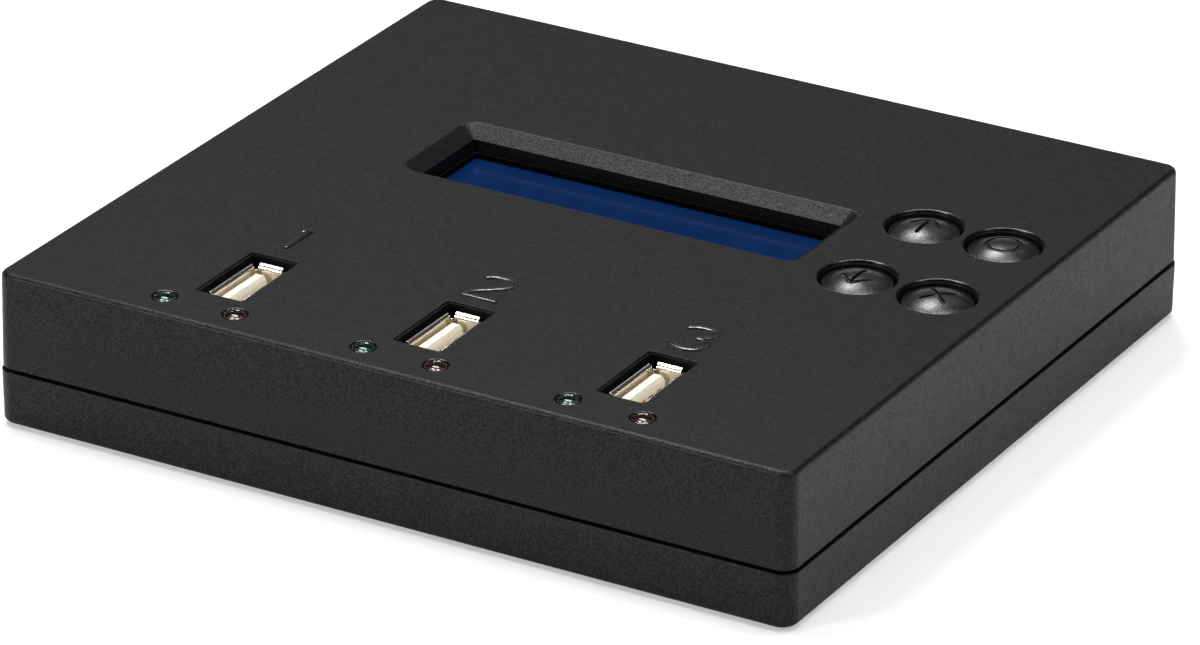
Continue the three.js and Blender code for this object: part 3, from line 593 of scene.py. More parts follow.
# Gasket between the glass and its surround: near-lightless black foam, which gives back almost no
# light. Its black is painted shade that darkens the window's edge.
shade_foam = moulded(
    "black_foam_painted_shade", "020202", "050505", (0.85, 0.95), size=0.3, height=0.02, specular=0.05,
)
# Display surround: steel sheet with a baked black coat, slightly orange-peeled. Its
# near-lightless black is partly painted shade, for the shadow at the bottom of the well.
black_steel_and_shade = moulded(
    "black_coated_steel_and_shade", "020304", "040506", (0.5, 0.6), size=0.8, height=0.004, specular=0.04,
)
# Lights' cores: the lens's epoxy over the dye, dull inside the clear lens.
green_core = moulded(
    "dyed_green_epoxy", "001a14", "01241c", (0.45, 0.55), size=0.25, height=0.002, specular=0.3,
)
red_core = moulded(
    "dyed_red_epoxy", "200506", "2b090a", (0.45, 0.55), size=0.25, height=0.002, specular=0.3,
)
# Port shells: nickel-plated steel sheet, bright, with faint rolling lines up the wall. They are
# drawn several times as coarse as the real ones.
nickel = metal(
    "nickel_plated_sheet", "ded8ca", "f4efe2", (0.2, 0.26),
    size=0.12, height=0.0002, stretch=(1, 1, 0.08),
)
# Lights' lead frames: silver plate, matt.
silver = metal("matt_silver_plate", "c4c8c8", "d0d4d4", (0.6, 0.72), size=0.1, height=0.001)
# Contacts: gold-flashed bronze, warm and smooth.
gold = metal(
    "gold_flashed_bronze", "b98a3c", "e3bd6c", (0.2, 0.34),
    size=0.1, height=0.001, stretch=(1, 1, 0.1),
)
# Screws: bright zinc plate over turned steel.
zinc = metal("zinc_plated_steel", "9a9da3", "c4c7cb", (0.25, 0.42), size=0.15, height=0.002)
# Capacitor can: drawn aluminium with lines up its wall.
drawn = metal(
    "drawn_aluminium", "a9abae", "cfd0d2", (0.22, 0.4),
    size=0.1, height=0.001, stretch=(1, 1, 0.05),
)


def cream_plastic():
    """Glass-filled PBT: creamy, a little translucent, with short fibres that mottle it."""
    material, tree, shader, place = finish(
        "cream_glass_filled_pbt", "f2e8d2", Roughness=0.42, Subsurface_Weight=0.15,
        Subsurface_Radius=(0.0012, 0.0009, 0.0005), Subsurface_Scale=1.0,
    )
    fibres = grain(tree, place, 0.3, detail=3.0, stretch=(1, 0.3, 1))
    tint(tree, shader, fibres, "ecdfc4", "faf4e6")
    spread(tree, shader, fibres, 0.34, 0.5)
    relief(tree, shader, fibres, 0.003)
    return material


def display_glass():
    """Polarising film over display glass: deep navy, glossy, with the film's faint haze."""
    material, tree, shader, place = finish(
        "navy_polarised_glass", "0b2550", Roughness=0.14, Specular_IOR_Level=0.03
    )
    tint(tree, shader, grain(tree, place, 9.0, detail=1.0), "081e43", "0a244e")
    spread(tree, shader, grain(tree, place, 0.2), 0.1, 0.18)
    relief(tree, shader, grain(tree, place, 3.0, detail=1.0), 0.004)
    return material


def lens(name, deep, pale):
    """Clear epoxy with a faint tint, cast smooth."""
    material, tree, shader, place = finish(
        name, pale, Roughness=0.02, IOR=1.5, Transmission_Weight=1.0
    )
    tint(tree, shader, grain(tree, place, 0.8, detail=1.0), deep, pale)
    return material


def solder_mask():
    """Green solder mask over copper tracks: glossy, with raised tracks in a square grid."""
    material, tree, shader, place = finish("green_solder_mask", "1d5a35", Roughness=0.35)
    flat = add(tree, "ShaderNodeMapping", {"Vector": place}, {"Scale": (1, 1, 0)})
    tracks = add(
        tree, "ShaderNodeTexBrick", {"Vector": flat.outputs["Vector"]},
        {"Scale": per_mm(3.0), "Mortar Size": 0.06, "Mortar Smooth": 0.3},
    )
    tint(tree, shader, tracks.outputs["Fac"], "174c2c", "2c7a49")
    relief(tree, shader, tracks.outputs["Fac"], 0.03)
    return material


cream = cream_plastic()
navy_glass = display_glass()
green_lens = lens("clear_green_epoxy", "bfe9da", "d3f4ea")
red_lens = lens("clear_red_epoxy", "f2d0d0", "fae2e2")
board = solder_mask()


# Case


def case_tower(inset, start, *runs):
    """A tower on the case's outline, drawn in by an inset."""
    return tower(
        CASE_WIDTH - 2 * inset, CASE_DEPTH - 2 * inset, CASE_CORNER - inset, start, *runs
    )


def at_corners(x, y):
    """The four places at equal distances from the case's middle."""
    return [(sx * x, sy * y) for sx, sy in ((-1, -1), (1, -1), (1, 1), (-1, 1))]


def posts(low, high):
    """The four screw posts, between two heights."""
    profile = [(0, low), (POST_RADIUS, low), (POST_RADIUS, high), (0, high)]
    return [turned(profile, POST_STEPS, x, y) for x, y in at_corners(POST_X, POST_Y)]


def upper_outside():
    """The drafted outside of the upper shell, with its round top edge."""
    start = SEAM_TOP + SEAM_EDGE
    straight = DRAFT * (TOP - TOP_FILLET - start)
    fillet = rounded(straight, TOP - TOP_FILLET, TOP_FILLET, 90)
    edge = rounded(0, start, SEAM_EDGE, -90, steps=4)
    return case_tower(SHELL_STEP, start, fillet, edge[1:])


def upper_inside():
    """The hollow of the upper shell, less the wall round the display."""
    hollow = case_tower(
        SHELL_STEP + SIDE_WALL, SEAM_TOP - PAST,
        [(0, SEAM_TOP), (DRAFT * (CEILING - SEAM_TOP), CEILING)],
    )
    wall = tower(
        WELL_WIDTH - 2 * WELL_SLOPE + 2 * RIM_WALL, WELL_DEPTH - 2 * WELL_SLOPE + 2 * RIM_WALL,
        RIM_WALL, FRAME_TOP, [(0, CEILING + PAST)], x=WELL_X, y=WELL_Y,
    )
    return combine(hollow, [wall])


def well_cutter():
    """The sloped well over the display, with its upper edge rolled over."""
    slope = math.atan2(WELL_DROP, WELL_SLOPE)
    rolled = rolled_edge(WELL_EDGE / math.tan(slope / 2), slope)
    deepest = WELL_EDGE + WELL_SLOPE
    return tower(
        WELL_WIDTH + 2 * WELL_EDGE, WELL_DEPTH + 2 * WELL_EDGE, WELL_CORNER + WELL_EDGE,
        TOP + PAST,
        [*rolled, (deepest, TOP - WELL_DROP), (deepest, FRAME_TOP - PAST)],
        x=WELL_X, y=WELL_Y,
    )


def slot_cutter(x, y):
    """A port's slot: a rounded edge, a hair-wide step and the wall under it."""
    reach = SLOT_STEP + SLOT_EDGE
    below = TOP - SLOT_STEP_DROP
    return tower(
        SLOT_WIDTH + 2 * reach, SLOT_LENGTH + 2 * reach, SLOT_CORNER + reach, TOP + PAST,
        [
            *rolled_edge(SLOT_EDGE, steps=3), (SLOT_EDGE, below),
            (reach, below - SLOT_STEP_FALL), (reach, CEILING - PAST),
        ],
        x=x, y=y, steps=6,
    )


def round_cutter(x, y, radius, edge, bore, step_drop, steps=ROUND_STEPS):
    """A round hole with a rolled edge, and a narrower bore under a small step."""
    wide = radius + edge
    shoulder = TOP - step_drop
    turn = BORE_ROUND_SHARE * (radius - bore)
    profile = [
        (0, TOP + PAST), (wide, TOP + PAST), *[(wide - u, v) for u, v in rolled_edge(edge)],
        (radius, shoulder), *arc(bore + turn, shoulder - turn, turn, 90, 180, steps=4),
        (bore, CEILING - PAST), (0, CEILING - PAST),
    ]
    return turned(profile, steps, x, y)


def inlet_axis():
    """Where the power inlet's axis lies, across and up."""
    x, _ = middle("power_jack_body")
    low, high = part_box("power_jack_pin")
    return x, (low.z + high.z) / 2 / MM


def back_cutter():
    """The hole in the back wall for the power inlet, with a small rolled edge."""
    x, height = inlet_axis()
    face = CASE_DEPTH / 2 - SHELL_STEP - DRAFT * (height - SEAM_TOP)
    mouth = INLET_HOLE + INLET_HOLE_EDGE
    profile = [
        (0, face + PAST), (mouth, face + PAST), (mouth, face),
        (INLET_HOLE + INLET_HOLE_EDGE_MIDDLE, face - INLET_HOLE_EDGE_MIDDLE),
        (INLET_HOLE, face - INLET_HOLE_EDGE), (INLET_HOLE, face - INLET_HOLE_DEPTH),
        (0, face - INLET_HOLE_DEPTH),
    ]
    return move(tilt(turned(profile, SMALL_STEPS), -90, "X"), x, 0, height)


def bottom_well(radius, edge):
    """The start of a profile that cuts a well up into the case's underside."""
    mouth = radius + edge
    return [(0, -PAST), (mouth, -PAST), (mouth, CASE_BASE), (radius, CASE_BASE + edge)]


def mark_hole_edges(shell):
    """Marks the rolled edges of the round holes, where the mould is polished."""
    holes = [(Vector(middle(f"{key}_button")), KEY_HOLE + KEY_EDGE) for key in KEYS]
    for colour, port in LIGHTS:
        holes.append((Vector(middle(f"{colour}_light_{port}")), LIGHT_HOLE + LIGHT_EDGE))
    shell.normal_update()
    for face in shell.faces:
        place = face.calc_center_median()
        if place.z > TOP - 2 * KEY_EDGE and face.normal.z < LEVEL:
            for hole, reach in holes:
                if (place.xy - hole).length < reach:
                    face.material_index = 1


def make_upper_shell():
    """The drafted cover with its openings, and the posts that the case screws go into."""
    shell = combine(upper_outside(), [upper_inside()])
    rebate = case_tower(LIP_INSET - LIP_CLEARANCE, SEAM_TOP - PAST, [(0, LIP_TOP)])
    shell = combine(shell, [rebate])
    shell = combine(shell, posts(RIM, POST_TOP), "UNION")
    cutters = [well_cutter(), back_cutter()]
    cutters += [slot_cutter(*middle(f"usb_shell_{port}")) for port in PORTS]
    for colour, port in LIGHTS:
        x, y = middle(f"{colour}_light_{port}")
        cutters.append(
            round_cutter(x, y, LIGHT_HOLE, LIGHT_EDGE, LIGHT_BORE, LIGHT_BORE_DROP, SMALL_STEPS)
        )
    for key in KEYS:
        x, y = middle(f"{key}_button")
        cutters.append(round_cutter(x, y, KEY_HOLE, KEY_EDGE, KEY_BORE, KEY_BORE_DROP))
    shell = combine(shell, cutters)
    mark_hole_edges(shell)
    put("upper_shell_skin", shell, case_abs, replaces=["upper_shell"],
        second=bead_abs)


def make_digits():
    """The port numbers: beads that stand proud of the top, from polished lines in its mould."""
    for number, lines in DIGITS.items():
        first, second = [
            stroke_of(line, DIGIT_WIDTH, DIGIT_HEIGHT, squareness=0.5) for line in lines
        ]
        made = move(combine(first, [second], "UNION"), 0, 0, TOP)
        put(f"digit_{number}", made, bead_abs)


def make_lower_shell():
    """The tray with its lip and posts, and the wells for the screws and the feet."""
    start = RIM - SEAM_EDGE
    foot_of_wall = DRAFT * (start - CASE_BASE - BOTTOM_FILLET)
    down = rounded(foot_of_wall, CASE_BASE + BOTTOM_FILLET, BOTTOM_FILLET, -90)
    up = rounded(0, start, SEAM_EDGE, 90, steps=4)
    shell = case_tower(0, start, down, up[1:])
    lip = case_tower(LIP_INSET, FLOOR_TOP, [(0, LIP_TOP)])
    shell = combine(shell, [lip], "UNION")
    tray = tower(
        CASE_WIDTH - 2 * SIDE_WALL, CASE_DEPTH - 2 * SIDE_WALL, TRAY_CORNER, LIP_TOP + PAST,
        [(0, FLOOR_TOP)],
    )
    shell = combine(shell, [tray])
    shell = combine(shell, posts(POST_BASE, RIM), "UNION")
    screw_hole = bottom_well(SCREW_WELL, SCREW_WELL_EDGE) + [
        (SCREW_WELL, SCREW_SEAT), (SCREW_BORE, SCREW_SEAT), (SCREW_BORE, RIM + PAST),
        (0, RIM + PAST),
    ]
    foot_hole = bottom_well(FOOT_WELL, FOOT_WELL_EDGE) + [(FOOT_WELL, FOOT_SEAT), (0, FOOT_SEAT)]
    cutters = [back_cutter()]
    for profile, places in (
        (screw_hole, at_corners(POST_X, POST_Y)), (foot_hole, at_corners(FOOT_X, FOOT_Y)),
    ):
        cutters += [turned(profile, SMALL_STEPS, x, y) for x, y in places]
    shell = combine(shell, cutters)
    put("lower_shell_skin", shell, case_abs, replaces=["lower_shell"])


def make_foot(corner):
    """A round rubber foot with a shallow hollow in its face."""
    x, y = middle(f"foot_{corner}")
    profile = [
        (0, FOOT_HOLLOW_DEPTH), (FOOT_HOLLOW, FOOT_HOLLOW_DEPTH),
        (FOOT_HOLLOW + FOOT_HOLLOW_EDGE, 0.0),
        *arc(FOOT_RADIUS - FOOT_EDGE, FOOT_EDGE, FOOT_EDGE, -90, 0, steps=5),
        (FOOT_RADIUS, FOOT_TOP), (0, FOOT_TOP),
    ]
    put(f"rubber_foot_{corner}", turned(profile, SMALL_STEPS, x, y), rubber,
        replaces=[f"foot_{corner}"])


def make_screw(corner):
    """A case screw, head down: round head with a cross, and a plain shank with a point."""
    x, y = middle(f"case_screw_{corner}")
    low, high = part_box(f"case_screw_{corner}")
    base, tip = low.z / MM, high.z / MM
    profile = [
        (0, base), (HEAD_FLAT, base),
        *arc(HEAD_RADIUS - HEAD_ROUND, base + HEAD_ROUND, HEAD_ROUND, -90, 0, steps=6),
        (HEAD_RADIUS, base + HEAD_HEIGHT), (SHANK_RADIUS, base + HEAD_HEIGHT),
        (SHANK_RADIUS, tip - SHANK_RADIUS), (SHANK_RADIUS / 2, tip), (0, tip),
    ]
    blades = [
        tilt(
            box((-CROSS_REACH, -CROSS_HALF, -PAST), (CROSS_REACH, CROSS_HALF, CROSS_DEPTH)),
            turn + SCREW_TURN * corner, "Z",
        )
        for turn in (0, 90)
    ]
    cross = move(gather(blades), x, y, base)
    screw = combine(turned(profile, SMALL_STEPS, x, y), [cross])
    put(f"case_screw_head_{corner}", screw, zinc,
        replaces=[f"case_screw_{corner}"])


# Ports


def bend_lip(made, side, half, rise, turn, radius):
    """Rolls the sheet's upper edge outward on one side, between two notches. The edge goes
    straight up by a rise first."""
    across, along = (0, 1) if side[0] else (1, 0)
    at_bend = [vert for vert in made.verts if abs(vert.co.z - PORT_BEND) < SAME_PLACE]
    reach = max(vert.co[across] * side[across] for vert in at_bend)
    lip = [
        edge for edge in made.edges
        if all(
            vert in at_bend
            and vert.co[across] * side[across] > reach - SAME_PLACE
            and abs(vert.co[along]) < half + SAME_PLACE
            for vert in edge.verts
        )
    ]
    if rise:
        grown = bmesh.ops.extrude_edge_only(made, edges=lip)["geom"]
        raised = [part for part in grown if isinstance(part, bmesh.types.BMVert)]
        bmesh.ops.translate(made, vec=(0, 0, rise), verts=raised)
        lip = [
            part for part in grown
            if isinstance(part, bmesh.types.BMEdge) and all(vert in raised for vert in part.verts)
        ]
    centre = [0.0, 0.0, PORT_BEND + rise]
    centre[across] = side[across] * (reach + radius)
    axis = (0, side[0], 0) if side[0] else (-side[1], 0, 0)
    bmesh.ops.spin(
        made, geom=lip + list({vert for edge in lip for vert in edge.verts}),
        cent=centre, axis=axis, angle=math.radians(turn), steps=7,
    )


def make_socket_shell(port, x, y):
    """A folded sheet tube with a rolled lip on each of its four sides."""
    made = tower(
        PORT_WIDTH - SHEET, PORT_LENGTH - SHEET, SHEET_CORNER, PORT_BASE, [(0, PORT_BEND)],
        steps=4,
    )
    caps = [face for face in made.faces if abs(face.normal.z) > LEVEL]
    bmesh.ops.delete(made, geom=caps, context="FACES_ONLY")
    for normal, reach in (((1, 0, 0), END_LIP / 2), ((0, 1, 0), SIDE_LIP / 2)):
        for sign in (-1, 1):
            bmesh.ops.bisect_plane(
                made, geom=made.verts[:] + made.edges[:] + made.faces[:],
                plane_co=[sign * reach * part for part in normal], plane_no=normal,
            )
    for sign in (-1, 1):
        bend_lip(made, (sign, 0), SIDE_LIP / 2, SIDE_LIP_RISE, SIDE_LIP_TURN, SIDE_LIP_RADIUS)
        bend_lip(made, (0, sign), END_LIP / 2, END_LIP_RISE, END_LIP_TURN, END_LIP_RADIUS)
    bmesh.ops.recalc_face_normals(made, faces=made.faces)
    piece = put(f"socket_shell_{port}", move(made, x, y, 0), nickel,
                replaces=[f"usb_shell_{port}"], plain=True)
    wall = piece.modifiers.new("sheet", "SOLIDIFY")
    wall.thickness = SHEET * MM
    wall.offset = 0.0
    soften(piece, SHEET_EDGE, segments=2, angle=50)


def make_socket_core(port, x, y):
    """The insulator: a base block, and a tongue with a bevelled lead-in and round ends."""
    base = tower(
        PORT_WIDTH - 2 * BLOCK_INSET, PORT_LENGTH - 2 * BLOCK_INSET, BLOCK_CORNER,
        PORT_BASE, [(0, BLOCK_TOP - BLOCK_EDGE), (BLOCK_EDGE, BLOCK_TOP)],
        steps=4,
    )
    half = TONGUE_LENGTH / 2
    tongue = box((TONGUE_LEFT, -half, BLOCK_TOP - PAST), (TONGUE_RIGHT, half, TONGUE_TOP))
    ends = [
        edge for edge in tongue.edges
        if abs(edge.verts[0].co.x - edge.verts[1].co.x) > SAME_PLACE
        and edge.verts[0].co.z > BLOCK_TOP
    ]
    bevel(tongue, ends, TONGUE_END, steps=6)
    edge = TONGUE_RIGHT - LEAD_IN
    lead_in = box(
        (edge, -half - PAST, TONGUE_TOP - LEAD_IN_DEPTH - PAST),
        (TONGUE_RIGHT + PAST, half + PAST, TONGUE_TOP + PAST),
    )
    steepness = math.degrees(math.atan2(LEAD_IN, LEAD_IN_DEPTH))
    tilt(lead_in, -steepness, "Y", (edge, 0, TONGUE_TOP))
    core = combine(base, [combine(tongue, [lead_in])], "UNION")
    piece = put(f"socket_core_{port}", move(core, x, y, 0), cream,
                replaces=[f"usb_insulator_{port}"])
    soften(piece, TONGUE_EDGE, segments=3, angle=40)


def make_contacts(port, x, y):
    """Four sprung strips that stand proud of the tongue's right-hand side."""
    half = CONTACT_WIDTH / 2
    strips = [
        box(
            (TONGUE_RIGHT - CONTACT_SUNK, place - half, BLOCK_TOP - CONTACT_ROOT),
            (TONGUE_RIGHT + CONTACT_PROUD, place + half, CONTACT_TOP), CONTACT_EDGE,
        )
        for place in CONTACT_PLACES
    ]
    put(f"socket_contacts_{port}", move(gather(strips), x, y, 0), gold)


# Status lights


def make_light(colour, port, clear, dyed):
    """A status light: a lens with a small rim round its face, the silvered lead frame that
    shows through it, and the dyed body below."""
    node = f"{colour}_light_{port}"
    x, y = middle(node)
    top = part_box(node)[1].z / MM
    flange = top - LENS_HEIGHT
    shoulder = flange + LENS_FLANGE_HEIGHT
    face = top - LENS_SINK
    lens_body = turned(
        [
            (0, flange), (LENS_FLANGE, flange), (LENS_FLANGE, shoulder), (LENS_RADIUS, shoulder),
            (LENS_RADIUS, top - LENS_EDGE), (LENS_RADIUS - LENS_EDGE_SAG, top - LENS_EDGE_SAG),
            (LENS_RADIUS - LENS_EDGE, top), (LENS_RIM, top),
            (LENS_RIM - LENS_RIM_SLOPE, top - LENS_RIM_SAG),
            (LENS_FACE + LENS_RIM_SLOPE, face + LENS_RIM_SAG), (LENS_FACE, face),
            *[(out * LENS_FACE, face + up * LENS_CROWN) for out, up in LENS_CROWN_SHARES],
        ],
        SMALL_STEPS, x, y,
    )
    piece = put(f"{colour}_lens_{port}", lens_body, clear, replaces=[node],
                sharp=math.radians(50))
    piece.visible_shadow = False
    foot, head = flange + CORE_EDGE, top - CORE_DEPTH
    core = turned(
        [(0, foot), (CORE_RADIUS, foot), (CORE_RADIUS, head - CORE_EDGE),
         (CORE_RADIUS - CORE_EDGE, head), (0, head)],
        SMALL_STEPS, x, y,
    )
    put(f"{colour}_core_{port}", core, dyed)
    leads = [
        box((x + side - LEAD_HALF, y - LEAD_HALF, PORT_BASE),
            (x + side + LEAD_HALF, y + LEAD_HALF, flange + LEAD_SEAT), LEAD_EDGE)
        for side in (-LEAD_SPACING, LEAD_SPACING)
    ]
    put(f"{colour}_leads_{port}", gather(leads), zinc)
    lead_frame = turned(
        [(0, -CORE_DEPTH), (ANVIL_RADIUS, -CORE_DEPTH), (ANVIL_RADIUS, -ANVIL_DEPTH),
         (NECK_RADIUS + NECK_FLARE, -ANVIL_DEPTH), (NECK_RADIUS, -ANVIL_DEPTH + NECK_FLARE),
         (NECK_RADIUS, -CUP_DEPTH - CUP_SLOPE), (CUP_RADIUS, -CUP_DEPTH - CUP_RIM),
         (CUP_RADIUS, -CUP_DEPTH), (0, -CUP_DEPTH)],
        POST_STEPS,
    )
    bmesh.ops.scale(lead_frame, vec=(1, LEAD_FRAME_FLATNESS, 1), verts=lead_frame.verts)
    piece = put(f"{colour}_lead_frame_{port}", move(lead_frame, x, y, top), silver)
    piece.visible_shadow = False


# Display


def display_block(width, depth, corner, start, *run, steps=4):
    """A tower on the display's middle."""
    x, y = middle("display_frame")
    return tower(width, depth, corner, start, run, x=x, y=y, steps=steps)


def make_display():
    """The folded surround with its window, the foam gasket in it, and the glass. The gasket's
    black is painted shade along the window's edge, and the surround's black is partly painted
    shade.
    """
    low, high = [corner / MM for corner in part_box("display_frame")]
    width, depth, top = high.x - low.x, high.y - low.y, high.z
    outer = display_block(
        width, depth, SURROUND_CORNER, low.z, (0, top - SURROUND_EDGE),
        (SURROUND_EDGE_MIDDLE, top - SURROUND_EDGE_MIDDLE), (SURROUND_EDGE, top), steps=5,
    )
    inner = display_block(
        width - 2 * SURROUND_SHEET, depth - 2 * SURROUND_SHEET, SURROUND_CORNER - SURROUND_SHEET,
        low.z - PAST, (0, top - SURROUND_SHEET), steps=3,
    )
    window = display_block(WINDOW_WIDTH, WINDOW_DEPTH, WINDOW_CORNER, top + PAST, (0, low.z))
    # The surround's near-lightless black is partly painted shade.
    put("display_surround", combine(outer, [inner, window]), black_steel_and_shade,
        replaces=["display_frame"])
    low, high = [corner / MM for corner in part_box("display_glass")]
    ring = display_block(
        GASKET_WIDTH, GASKET_DEPTH, WINDOW_CORNER, high.z,
        (0, top - SURROUND_SHEET - GASKET_SEAT),
    )
    width, depth = WINDOW_WIDTH - 2 * GASKET_GAP, WINDOW_DEPTH - 2 * GASKET_GAP
    sleeve = display_block(width, depth, WINDOW_CORNER, high.z, (0, top - GASKET_SINK))
    hole = display_block(
        width - 2 * GASKET_WALL, depth - 2 * GASKET_WALL, WINDOW_CORNER - GASKET_GAP,
        high.z - PAST, (0, top + PAST),
    )
    shade_gasket = combine(combine(ring, [sleeve], "UNION"), [hole])
    # Painted shade: the gasket's near-black sleeve darkens the line round the glass.
    put("display_shade_gasket", shade_gasket, shade_foam)
    put("display_window", box(low, high, GLASS_EDGE), navy_glass,
        replaces=["display_glass"])


# Push buttons


def make_cap(key):
    """A turned cap with a shallow dome, and its sign engraved along the dome."""
    x, y = middle(f"{key}_button")
    sphere = (CAP_RADIUS**2 + CAP_RISE**2) / (2 * CAP_RISE)
    centre = CAP_RIM + CAP_RISE - sphere
    edge_angle = math.degrees(math.acos((CAP_RADIUS - CAP_EDGE) / sphere))
    dome = arc(0, centre, sphere, edge_angle, 90, steps=20)
    dome[-1] = (0.0, CAP_RIM + CAP_RISE)
    rolled = arc(
        CAP_RADIUS - CAP_EDGE, dome[0][1] - CAP_EDGE, CAP_EDGE, 0, CAP_EDGE_TURN, EDGE_STEPS
    )
    profile = [
        (0, STEM_BASE), (STEM_RADIUS - STEM_EDGE, STEM_BASE),
        (STEM_RADIUS, STEM_BASE + STEM_EDGE), (STEM_RADIUS, FLANGE_BASE),
        (FLANGE_RADIUS, FLANGE_BASE), (FLANGE_RADIUS, FLANGE_TOP), (CAP_RADIUS, FLANGE_TOP),
        *rolled, *dome,
    ]
    if key in SIGNS:
        strokes = [stroke_of(line, SIGN_WIDTH, SIGN_DEPTH) for line in SIGNS[key]]
    else:
        ring = arc(0, 0, RING_RADIUS, 0, 360, RING_POINTS)[:-1]
        strokes = [stroke_of(ring, SIGN_WIDTH, SIGN_DEPTH, closed=True)]
    for stroke in strokes:
        for vert in stroke.verts:
            vert.co.z += centre + math.sqrt(sphere**2 - vert.co.x**2 - vert.co.y**2)
    cap = move(combine(turned(profile), strokes), x, y, 0)
    put(f"{key}_cap", cap, cap_abs, f"{key}_key", [f"{key}_button"])


# Power inlet


def make_inlet():
    """The jack: a block with a round nose that fills the hole in the back, and its pin."""
    x, height = inlet_axis()
    low, high = [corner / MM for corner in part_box("power_jack_body")]
    end = high.y
    front = end - NOSE_LENGTH
    body = box(low, (high.x, front, high.z), JACK_EDGE, steps=3)
    nose = [
        (0, front - NOSE_ROOT), (NOSE_RADIUS, front - NOSE_ROOT),
        (NOSE_RADIUS, end - NOSE_EDGE), (NOSE_RADIUS - NOSE_EDGE, end), (0, end),
    ]
    mouth = BORE_RADIUS + BORE_EDGE
    bore = [
        (0, end - BORE_DEPTH), (BORE_RADIUS, end - BORE_DEPTH),
        (BORE_RADIUS, end - BORE_EDGE_DEPTH), (mouth, end + SAME_PLACE), (mouth, end + PAST),
        (0, end + PAST),
    ]
    for profile, operation in ((nose, "UNION"), (bore, "DIFFERENCE")):
        made = move(tilt(turned(profile, SMALL_STEPS), -90, "X"), x, 0, height)
        body = combine(body, [made], operation)
    put("inlet_body", body, nylon, replaces=["power_jack_body"])
    start, end = [corner.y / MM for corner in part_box("power_jack_pin")]
    profile = [
        (0, start), (PIN_RADIUS, start), (PIN_RADIUS, end - PIN_ROUND),
        *arc(PIN_RADIUS - PIN_ROUND, end - PIN_ROUND, PIN_ROUND, 0, 90, steps=6), (0, end),
    ]
    pin = move(tilt(turned(profile, POST_STEPS), -90, "X"), x, 0, height)
    put("inlet_pin", pin, nickel, replaces=["power_jack_pin"])


make_upper_shell()
make_digits()
make_lower_shell()
for corner in CORNERS:
    make_foot(corner)
    make_screw(corner)
for port in PORTS:
    place = middle(f"usb_shell_{port}")
    make_socket_shell(port, *place)
    make_socket_core(port, *place)
    make_contacts(port, *place)
    make_light("green", port, green_lens, green_core)
    make_light("red", port, red_lens, red_core)
make_display()
for key in KEYS:
    make_cap(key)
make_inlet()

# Inner CAD nodes keep their shape and get their real finish
INNER = {
    "main_board": board, "display_board": board, "controller_chip": epoxy,
    "memory_chip": epoxy, "voltage_regulator": epoxy, "crystal": zinc, "capacitor": drawn,
    "inductor": ferrite, "display_header": epoxy, "display_backlight": diffuser,
}
for corner in CORNERS:
    INNER[f"board_screw_{corner}"] = zinc
    INNER[f"display_screw_{corner}"] = zinc
for key in KEYS:
    INNER[f"{key}_switch_body"] = epoxy
    INNER[f"{key}_switch_plunger"] = epoxy
for name, material in INNER.items():
    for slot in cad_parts[name].material_slots:
        slot.material = material


# Table, lights and camera

# The studio, in metres: the table's radius, the wall's height, and where the glow grows
STUDIO_RADIUS = 6.0
WALL_HEIGHT = 0.7
FADE_START, FADE_END = 0.1, 1.3
NEAR_GLOW, FAR_GLOW = 0.36, 0.92
ROOM_LIGHT = 0.05

# The camera, solved from the case's edges in the photograph: metres, millimetres and degrees
CAMERA_PLACE = (0.49998, -0.86856, 0.47529)
CAMERA_BACK = (0.45193, -0.78553, 0.42273)
CAMERA_ROLL = 0.2708
CAMERA_LENS, CAMERA_SENSOR = 210.84, 36.0
CAMERA_NEAR, CAMERA_FAR = 0.05, 50.0


def white_laminate(name, near, far):
    """A matt white surface whose glow brings it to white for the camera and through clear
    surfaces. The glow grows from under the object outwards, as the lamps' light fades. What
    shines shows it a little weaker, and nothing is lit by it."""
    material = bpy.data.materials.new(name)
    material.use_nodes = True
    tree = material.node_tree
    tree.nodes.clear()

    def combined(operation, first, second):
        return add(tree, "ShaderNodeMath", {0: first, 1: second}, operation=operation).outputs[0]

    matt = add(tree, "ShaderNodeBsdfDiffuse", values={"Color": linear("e6e6e6")})
    place = add(tree, "ShaderNodeTexCoord").outputs["Object"]
    distance = add(tree, "ShaderNodeVectorMath", {0: place}, operation="LENGTH").outputs["Value"]
    faded = add(
        tree, "ShaderNodeMapRange", {"Value": distance},
        {"From Min": FADE_START, "From Max": FADE_END, "To Min": near, "To Max": far},
    ).outputs["Result"]
    path = add(tree, "ShaderNodeLightPath").outputs
    seen = combined("MAXIMUM", path["Is Camera Ray"], path["Is Transmission Ray"])
    seen = combined("MULTIPLY", seen, faded)
    shine = combined("MULTIPLY", path["Is Glossy Ray"], combined("MULTIPLY", faded, faded))
    glow = add(tree, "ShaderNodeEmission", {"Strength": combined("MAXIMUM", seen, shine)})
    both = add(tree, "ShaderNodeAddShader", {0: matt.outputs[0], 1: glow.outputs[0]})
    add(tree, "ShaderNodeOutputMaterial", {"Surface": both.outputs[0]})
    return material


def make_studio():
    """A round white table top, with a low white wall far off all round it."""
    for name, height, near, far in (
        ("table_top", 0.0, NEAR_GLOW, FAR_GLOW), ("low_wall", WALL_HEIGHT, 1.0, 1.0),
    ):
        made = bmesh.new()
        bmesh.ops.create_circle(
            made, cap_ends=not height, segments=ROUND_STEPS, radius=STUDIO_RADIUS
        )
        if height:
            rim = bmesh.ops.extrude_edge_only(made, edges=made.edges[:])["geom"]
            moved = [part for part in rim if isinstance(part, bmesh.types.BMVert)]
            bmesh.ops.translate(made, vec=(0, 0, height), verts=moved)
        mesh = mesh_of(name, made)
        mesh.materials.append(white_laminate(f"white_{name}", near, far))
        show(name, mesh)


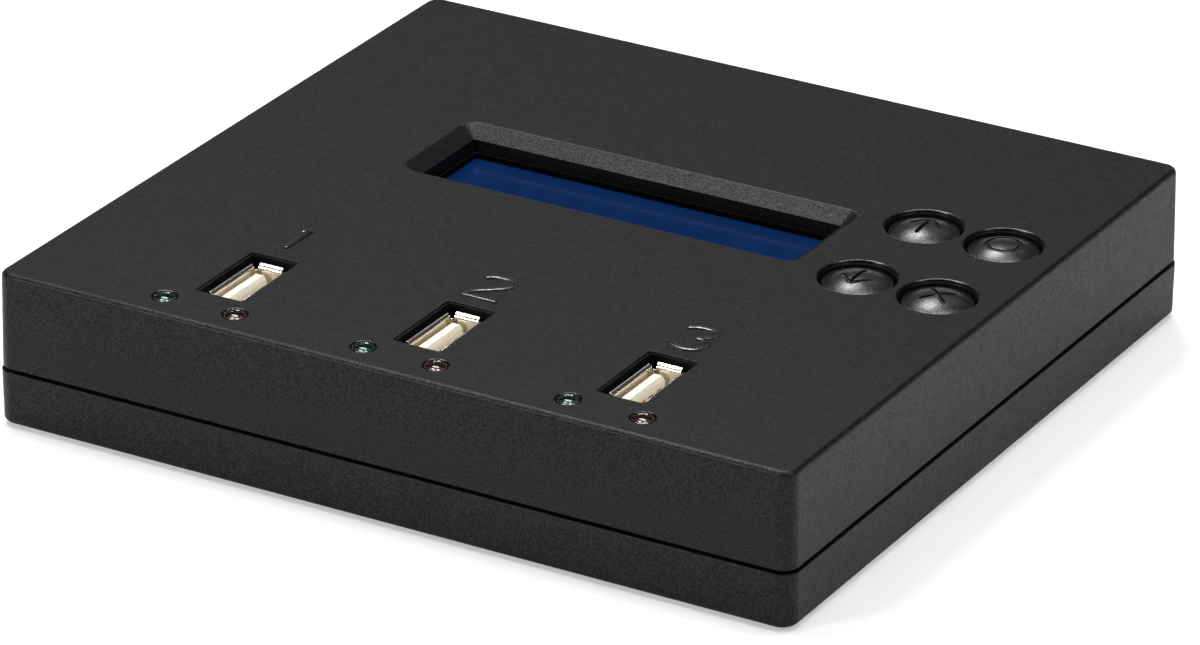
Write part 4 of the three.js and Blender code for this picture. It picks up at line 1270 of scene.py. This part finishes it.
def make_lamp(name, way, distance, size, watts):
    """A soft box in a direction from the object, at a distance in metres, turned to it."""
    data = bpy.data.lights.new(name, "AREA")
    data.shape = "RECTANGLE"
    data.size, data.size_y = size
    data.energy = watts
    lamp = show(name, data)
    lamp.location = Vector(way).normalized() * distance
    lamp.rotation_mode = "QUATERNION"
    lamp.rotation_quaternion = Vector(way).to_track_quat("Z", "Y")


def make_world():
    """The dim room above the table."""
    world = bpy.data.worlds.new("room")
    world.use_nodes = True
    tree = world.node_tree
    tree.nodes.clear()
    dim = add(
        tree, "ShaderNodeBackground", values={"Color": linear("ffffff"), "Strength": ROOM_LIGHT}
    )
    add(tree, "ShaderNodeOutputWorld", {"Surface": dim.outputs[0]})
    bpy.context.scene.world = world


def make_camera():
    """The photograph's viewpoint: 25 degrees down, from 30 degrees right of the front."""
    data = bpy.data.cameras.new("camera")
    data.lens, data.sensor_width = CAMERA_LENS, CAMERA_SENSOR
    data.clip_start, data.clip_end = CAMERA_NEAR, CAMERA_FAR
    camera = show("camera", data)
    camera.location = CAMERA_PLACE
    camera.rotation_mode = "QUATERNION"
    roll = Quaternion((0, 0, 1), math.radians(CAMERA_ROLL))
    camera.rotation_quaternion = Vector(CAMERA_BACK).to_track_quat("Z", "Y") @ roll
    bpy.context.scene.camera = camera


make_studio()
make_world()
make_lamp("overhead", (0.12, 0.12, 0.98), distance=1.1, size=(0.4, 0.4), watts=5.2)
make_lamp("left_top", (-0.37, -0.07, 0.92), distance=1.0, size=(0.32, 0.32), watts=3.6)
make_lamp("back_top", (-0.36, 0.46, 0.81), distance=3.0, size=(0.7, 0.7), watts=30.0)
make_lamp("back_low", (-0.1, 0.78, 0.62), distance=1.1, size=(0.22, 0.15), watts=0.1)
make_lamp("right_side", (0.75, -0.1, 0.7), distance=1.2, size=(0.3, 0.3), watts=3.4)
make_lamp("front_left", (-0.45, -0.76, 0.47), distance=1.3, size=(0.22, 0.22), watts=5.0)
make_camera()
bpy.context.scene.view_settings.view_transform = "Standard"
